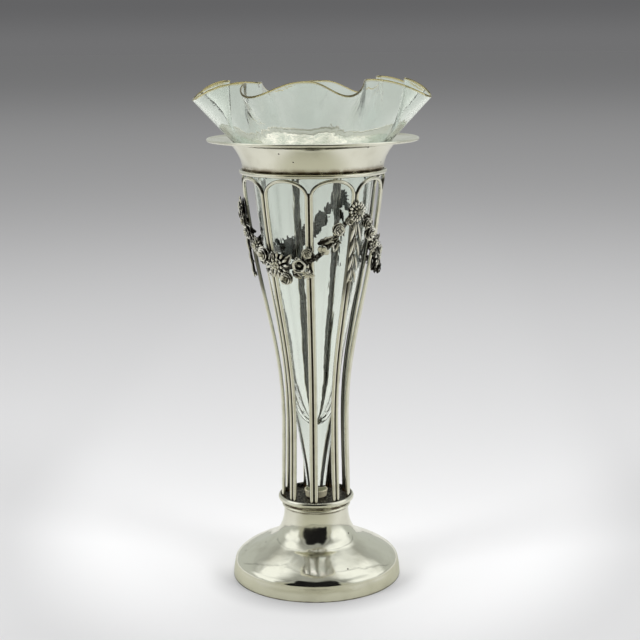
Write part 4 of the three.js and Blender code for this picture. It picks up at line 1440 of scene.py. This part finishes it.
# %% [markdown]
# ## The floor
#
# A paper sweep would be the studio's way to lose the horizon. Here one wide disc does it, and the fall of
# the
# light is painted on it: the camera sees a painted pool of light round the foot, dimmer corners in front, a
# fade to grey with depth, and a painted shadow just in front of the foot. Metal and glass would show the
# same tones too bright, so rays that were mirrored or went through the glass see quieter colours of their
# own: the mirrored floor has painted shade in front of and beside the foot, and the glass also sees a
# painted glow far off.

# %% Tones of the floor
FLOOR_WHITE = (0.93, 0.93, 0.935, 1)
FLOOR_DIM = (0.69, 0.69, 0.695, 1)
# The painted shadow just in front of the foot.
FLOOR_PAINTED_SHADOW = (0.70, 0.70, 0.71, 1)
FLOOR_MIDDLE = (0.60, 0.60, 0.605, 1)
FLOOR_FAR = (0.33, 0.33, 0.335, 1)
FLOOR_GREY = (0.28, 0.28, 0.285, 1)
FLOOR_SIDE = (0.77, 0.77, 0.73, 1)
# The mirrored floor in front of and beside the foot, darker as painted shade.
FLOOR_FRONT = (0.52, 0.515, 0.42, 1)
FLOOR_BESIDE = (0.66, 0.66, 0.565, 1)
FLOOR_GLOW = (0.35, 0.395, 0.35, 1)
FLOOR_GLASS = (0.75, 0.77, 0.72, 1)


def ray_kinds(tree, *kinds):
    rays = tree.nodes.new("ShaderNodeLightPath").outputs
    return [Socket(tree, rays[kind]) for kind in kinds]


def distant(distance, power):
    """0 near by and 1 far away, and a half where the distance is 1."""
    far = distance ** power
    return far / (far + 1.0)


# %% [markdown]
# ## Laying the floor
#
# The tones are laid over each other like glazes: first the painted pool of light and its corners, then the
# fade with depth, then the painted shadow by the foot. Light Path tells whether a ray was mirrored or went
# through glass. A gradient picture would be the other way, but a few distances in millimetres are easier to
# set.

# %% Floor
FLOOR_RADIUS = 40000.0
FLOOR_CORNERS = 96
POOL_HALF_WIDTH = 140
POOL_BACK = 150
POOL_LENGTH = 240
MIDDLE_START = 30
MIDDLE_REACH = 170
FAR_REACH = 4100
FADE_REACH = 1400
CORNER_REACH = 300
PAINTED_SHADOW_SPAN = (52, 37)
BESIDE_SPAN = (75, 50)


def floor_finish():
    material, shader, place = start_finish("studio_floor", Emission_Strength=1.0, Roughness=1.0,
                                           Specular_IOR_Level=0.0)
    through, mirrored = ray_kinds(material.node_tree, "Is Transmission Ray", "Is Glossy Ray")
    away = place.vector("LENGTH", output=1)
    aside, behind = place.part(0) / POOL_HALF_WIDTH, place.part(1)
    front = behind * -1.0 / away
    ahead = (behind - POOL_BACK).maths("MINIMUM", 0.0) / POOL_LENGTH
    corner = (aside * aside + ahead * ahead).ramp(0.7, 1.45) * (1 - behind.ramp(0, CORNER_REACH) * 0.75)
    middle = distant((behind - MIDDLE_START).maths("MAXIMUM", 0.0) / MIDDLE_REACH, 1.2)
    # Painted pool of light: white round the foot, dimmer toward the front corners, grey further back.
    pale = middle.blend(corner.blend(FLOOR_WHITE, FLOOR_DIM), FLOOR_MIDDLE)
    pale = distant(away / FAR_REACH, 3.0).blend(pale, FLOOR_FAR)
    # Painted shadow just in front of the foot.
    pale = (away.ramp(*PAINTED_SHADOW_SPAN) * front.ramp(-0.2, 0.5)).blend(pale, FLOOR_PAINTED_SHADOW)
    # Painted shade in reflections: the mirrored floor is darker in front of the foot and beside it.
    reflection = front.ramp(0.2, 0.95).blend(FLOOR_SIDE, FLOOR_FRONT)
    reflection = away.ramp(*BESIDE_SPAN).blend(reflection, FLOOR_BESIDE)
    fade = distant(away / FADE_REACH, 1.15) * through
    behind_glass = (fade * 0.75).blend(FLOOR_GLASS, FLOOR_GREY)
    through.blend(mirrored.blend(pale, reflection), behind_glass).into(shader, "Base Color")
    # Painted glow: the far floor seen through the glass gives light of its own.
    fade.blend((0, 0, 0, 1), FLOOR_GLOW).into(shader, "Emission Color")
    return material


floor_turn = np.linspace(0, math.tau, FLOOR_CORNERS, endpoint=False)
floor_rim = FLOOR_RADIUS * np.column_stack([np.cos(floor_turn), np.sin(floor_turn), 0 * floor_turn])
floor_mesh = plain_mesh("floor", floor_rim, [list(range(FLOOR_CORNERS))])
floor_mesh.materials.append(floor_finish())
in_scene("floor", floor_mesh)
print("floor of", FLOOR_RADIUS * MM, "m radius")

# %% [markdown]
# ## The light tent
#
# Polished metal shows whatever stands round it, so silver is photographed in a tent of pale cloth. The world
# plays that tent for reflections only: walls and a top, four bright windows, dark seams and a dark opening
# in front, where the camera looks in. The directions are rippled a little, as cloth is. Rays bent by the
# glass see a pale grey with sparkles overhead, the camera a plain backdrop, and all else an even grey.

# %% Directions in the tent
world = bpy.data.worlds.new("light_tent")
bpy.context.scene.world = world
world.use_nodes = True
sky_tree = world.node_tree
straight = Socket(sky_tree, sky_tree.nodes.new("ShaderNodeTexCoord").outputs["Generated"])
ripples = straight.noise(0.45, 2.0, output=1).vector("SUBTRACT", (0.5, 0.5, 0.5))
sky = straight.vector("ADD", ripples.vector("MULTIPLY", (0.22, 0.22, 0.22)))
from_front = abs(sky.part(0).maths("ARCTAN2", sky.part(1) * -1.0))
sky_height = sky.part(2)


def window(bearing, rise, reach):
    """A soft bright patch in the cloth, from its bearing and rise in degrees."""
    a, b = math.radians(bearing), math.radians(rise)
    toward = (math.cos(b) * math.sin(a), -math.cos(b) * math.cos(a), math.sin(b))
    facing = sky.vector("DOT_PRODUCT", toward, output=1)
    return facing.ramp(math.cos(math.radians(1.7 * reach)), math.cos(math.radians(0.3 * reach)))


# %% [markdown]
# ## The cloth of the tent
#
# The tent is put together as a tailor would: cloth first, then windows, seams and the opening on top. Each
# is a mask on the direction, and Is Camera Ray, Is Glossy Ray and Is Transmission Ray choose who sees what.
# Real walls with lamps behind them would do as well, but each of them would have to be hidden from the
# camera and from the glass.

# %% Light tent
BACKDROP = (0.163, 0.163, 0.166, 1)
BACKDROP_TOP = (0.126, 0.126, 0.129, 1)
AMBIENT = (0.50, 0.50, 0.50, 1)
THROUGH_GLASS = (0.62, 0.69, 0.65, 1)
THROUGH_TOP = (1.60, 1.50, 1.54, 1)
FRONT_WALL = (0.47, 0.47, 0.38, 1)
SIDE_WALL = (0.55, 0.57, 0.53, 1)
TENT_TOP = (0.38, 0.39, 0.36, 1)
TENT_SEAM = (0.10, 0.10, 0.09, 1)
WINDOW = (1.12, 1.14, 1.10, 1)
OPENING = (0.010, 0.010, 0.010, 1)
WINDOWS = [(-76, 28, 17), (84, 26, 20), (-109, 56, 16), (109, 56, 19)]
SEAMS = [0.9, 2.3]

tent = from_front.ramp(1.15, 0.75).blend(SIDE_WALL, FRONT_WALL)
tent = sky_height.ramp(0.35, 0.8).blend(tent, TENT_TOP)
for bearing, rise, reach in WINDOWS:
    tent = window(bearing, rise, reach).blend(tent, WINDOW)
for seam in SEAMS:
    stitched = abs(from_front - seam).ramp(0.06, 0.015) * sky_height.ramp(0.25, 0.4)
    tent = (stitched * 0.4).blend(tent, TENT_SEAM)
opening = from_front.ramp(0.72, 0.64) * sky_height.ramp(0.05, 0.09) * sky_height.ramp(0.93, 0.89)
tent = opening.blend(tent, OPENING)
seen, through, mirrored = ray_kinds(sky_tree, "Is Camera Ray", "Is Transmission Ray", "Is Glossy Ray")
sparkle = sky_height.ramp(0.5, 0.8) * straight.noise(0.07, 2.0).ramp(0.42, 0.60)
bent = sparkle.blend(THROUGH_GLASS, THROUGH_TOP)
light = through.blend(mirrored.blend(AMBIENT, tent), bent)
backdrop = straight.part(2).ramp(0.0, 0.03).blend(BACKDROP, BACKDROP_TOP)
seen.blend(light, backdrop).into(sky_tree.nodes["Background"], "Color")
print("tent with", len(WINDOWS), "windows and", len(SEAMS), "seams on each side")

# %% [markdown]
# ## Lamps
#
# Three soft lamps light the floor and give the foot its soft shadow. They are hidden from the camera, from
# reflections and from the glass, because a square lamp mirrored in the silver would look like one: there
# the windows of the tent do their work.

# %% Lamps
LAMPS = {
    "left_softbox": ((-900, -560, 640), 420, 4.6),
    "right_softbox": ((900, -620, 560), 380, 3.9),
    "top_softbox": ((60, 350, 1150), 700, 5.4),
}
LAMP_AIM = Vector((0, 0, 95 * MM))

for name, (spot, width, watts) in LAMPS.items():
    lamp = bpy.data.lights.new(name, "AREA")
    lamp.shape = "SQUARE"
    lamp.size = width * MM
    lamp.energy = watts
    stand = in_scene(name, lamp)
    stand.location = Vector(spot) * MM
    stand.rotation_euler = (LAMP_AIM - stand.location).to_track_quat("-Z", "Y").to_euler()
    stand.visible_camera = False
    stand.visible_glossy = False
    stand.visible_transmission = False
    print(name, "at", [round(c, 2) for c in stand.location], watts, "W")

# %% [markdown]
# ## Camera
#
# The camera looks slightly down on the vase from the front through a long lens, as in a catalogue picture.
# It is rolled by half a degree, so that the vase stands a little out of true in the picture. Its place and
# lens were worked out from the round edges of the foot, the dish, the ring and the brim, which look flatter
# or rounder with the height of the camera.

# %% Camera
CAMERA_PLACE = (37.4, -573.07, 227.46)
CAMERA_TILT = 78.694
CAMERA_TURN = 3.5
CAMERA_ROLL = -0.5
LENS = 77.36
SENSOR_WIDTH = 36.0

view = bpy.data.cameras.new("catalogue_camera")
view.lens = LENS
view.sensor_width = SENSOR_WIDTH
camera = in_scene("catalogue_camera", view)
camera.location = Vector(CAMERA_PLACE) * MM
aim = Euler((math.radians(CAMERA_TILT), 0, math.radians(CAMERA_TURN))).to_matrix()
camera.rotation_euler = (aim @ Matrix.Rotation(math.radians(CAMERA_ROLL), 3, "Z")).to_euler()
bpy.context.scene.camera = camera
bpy.context.scene.view_settings.view_transform = "Standard"
print("camera at", [round(c, 4) for c in camera.location])
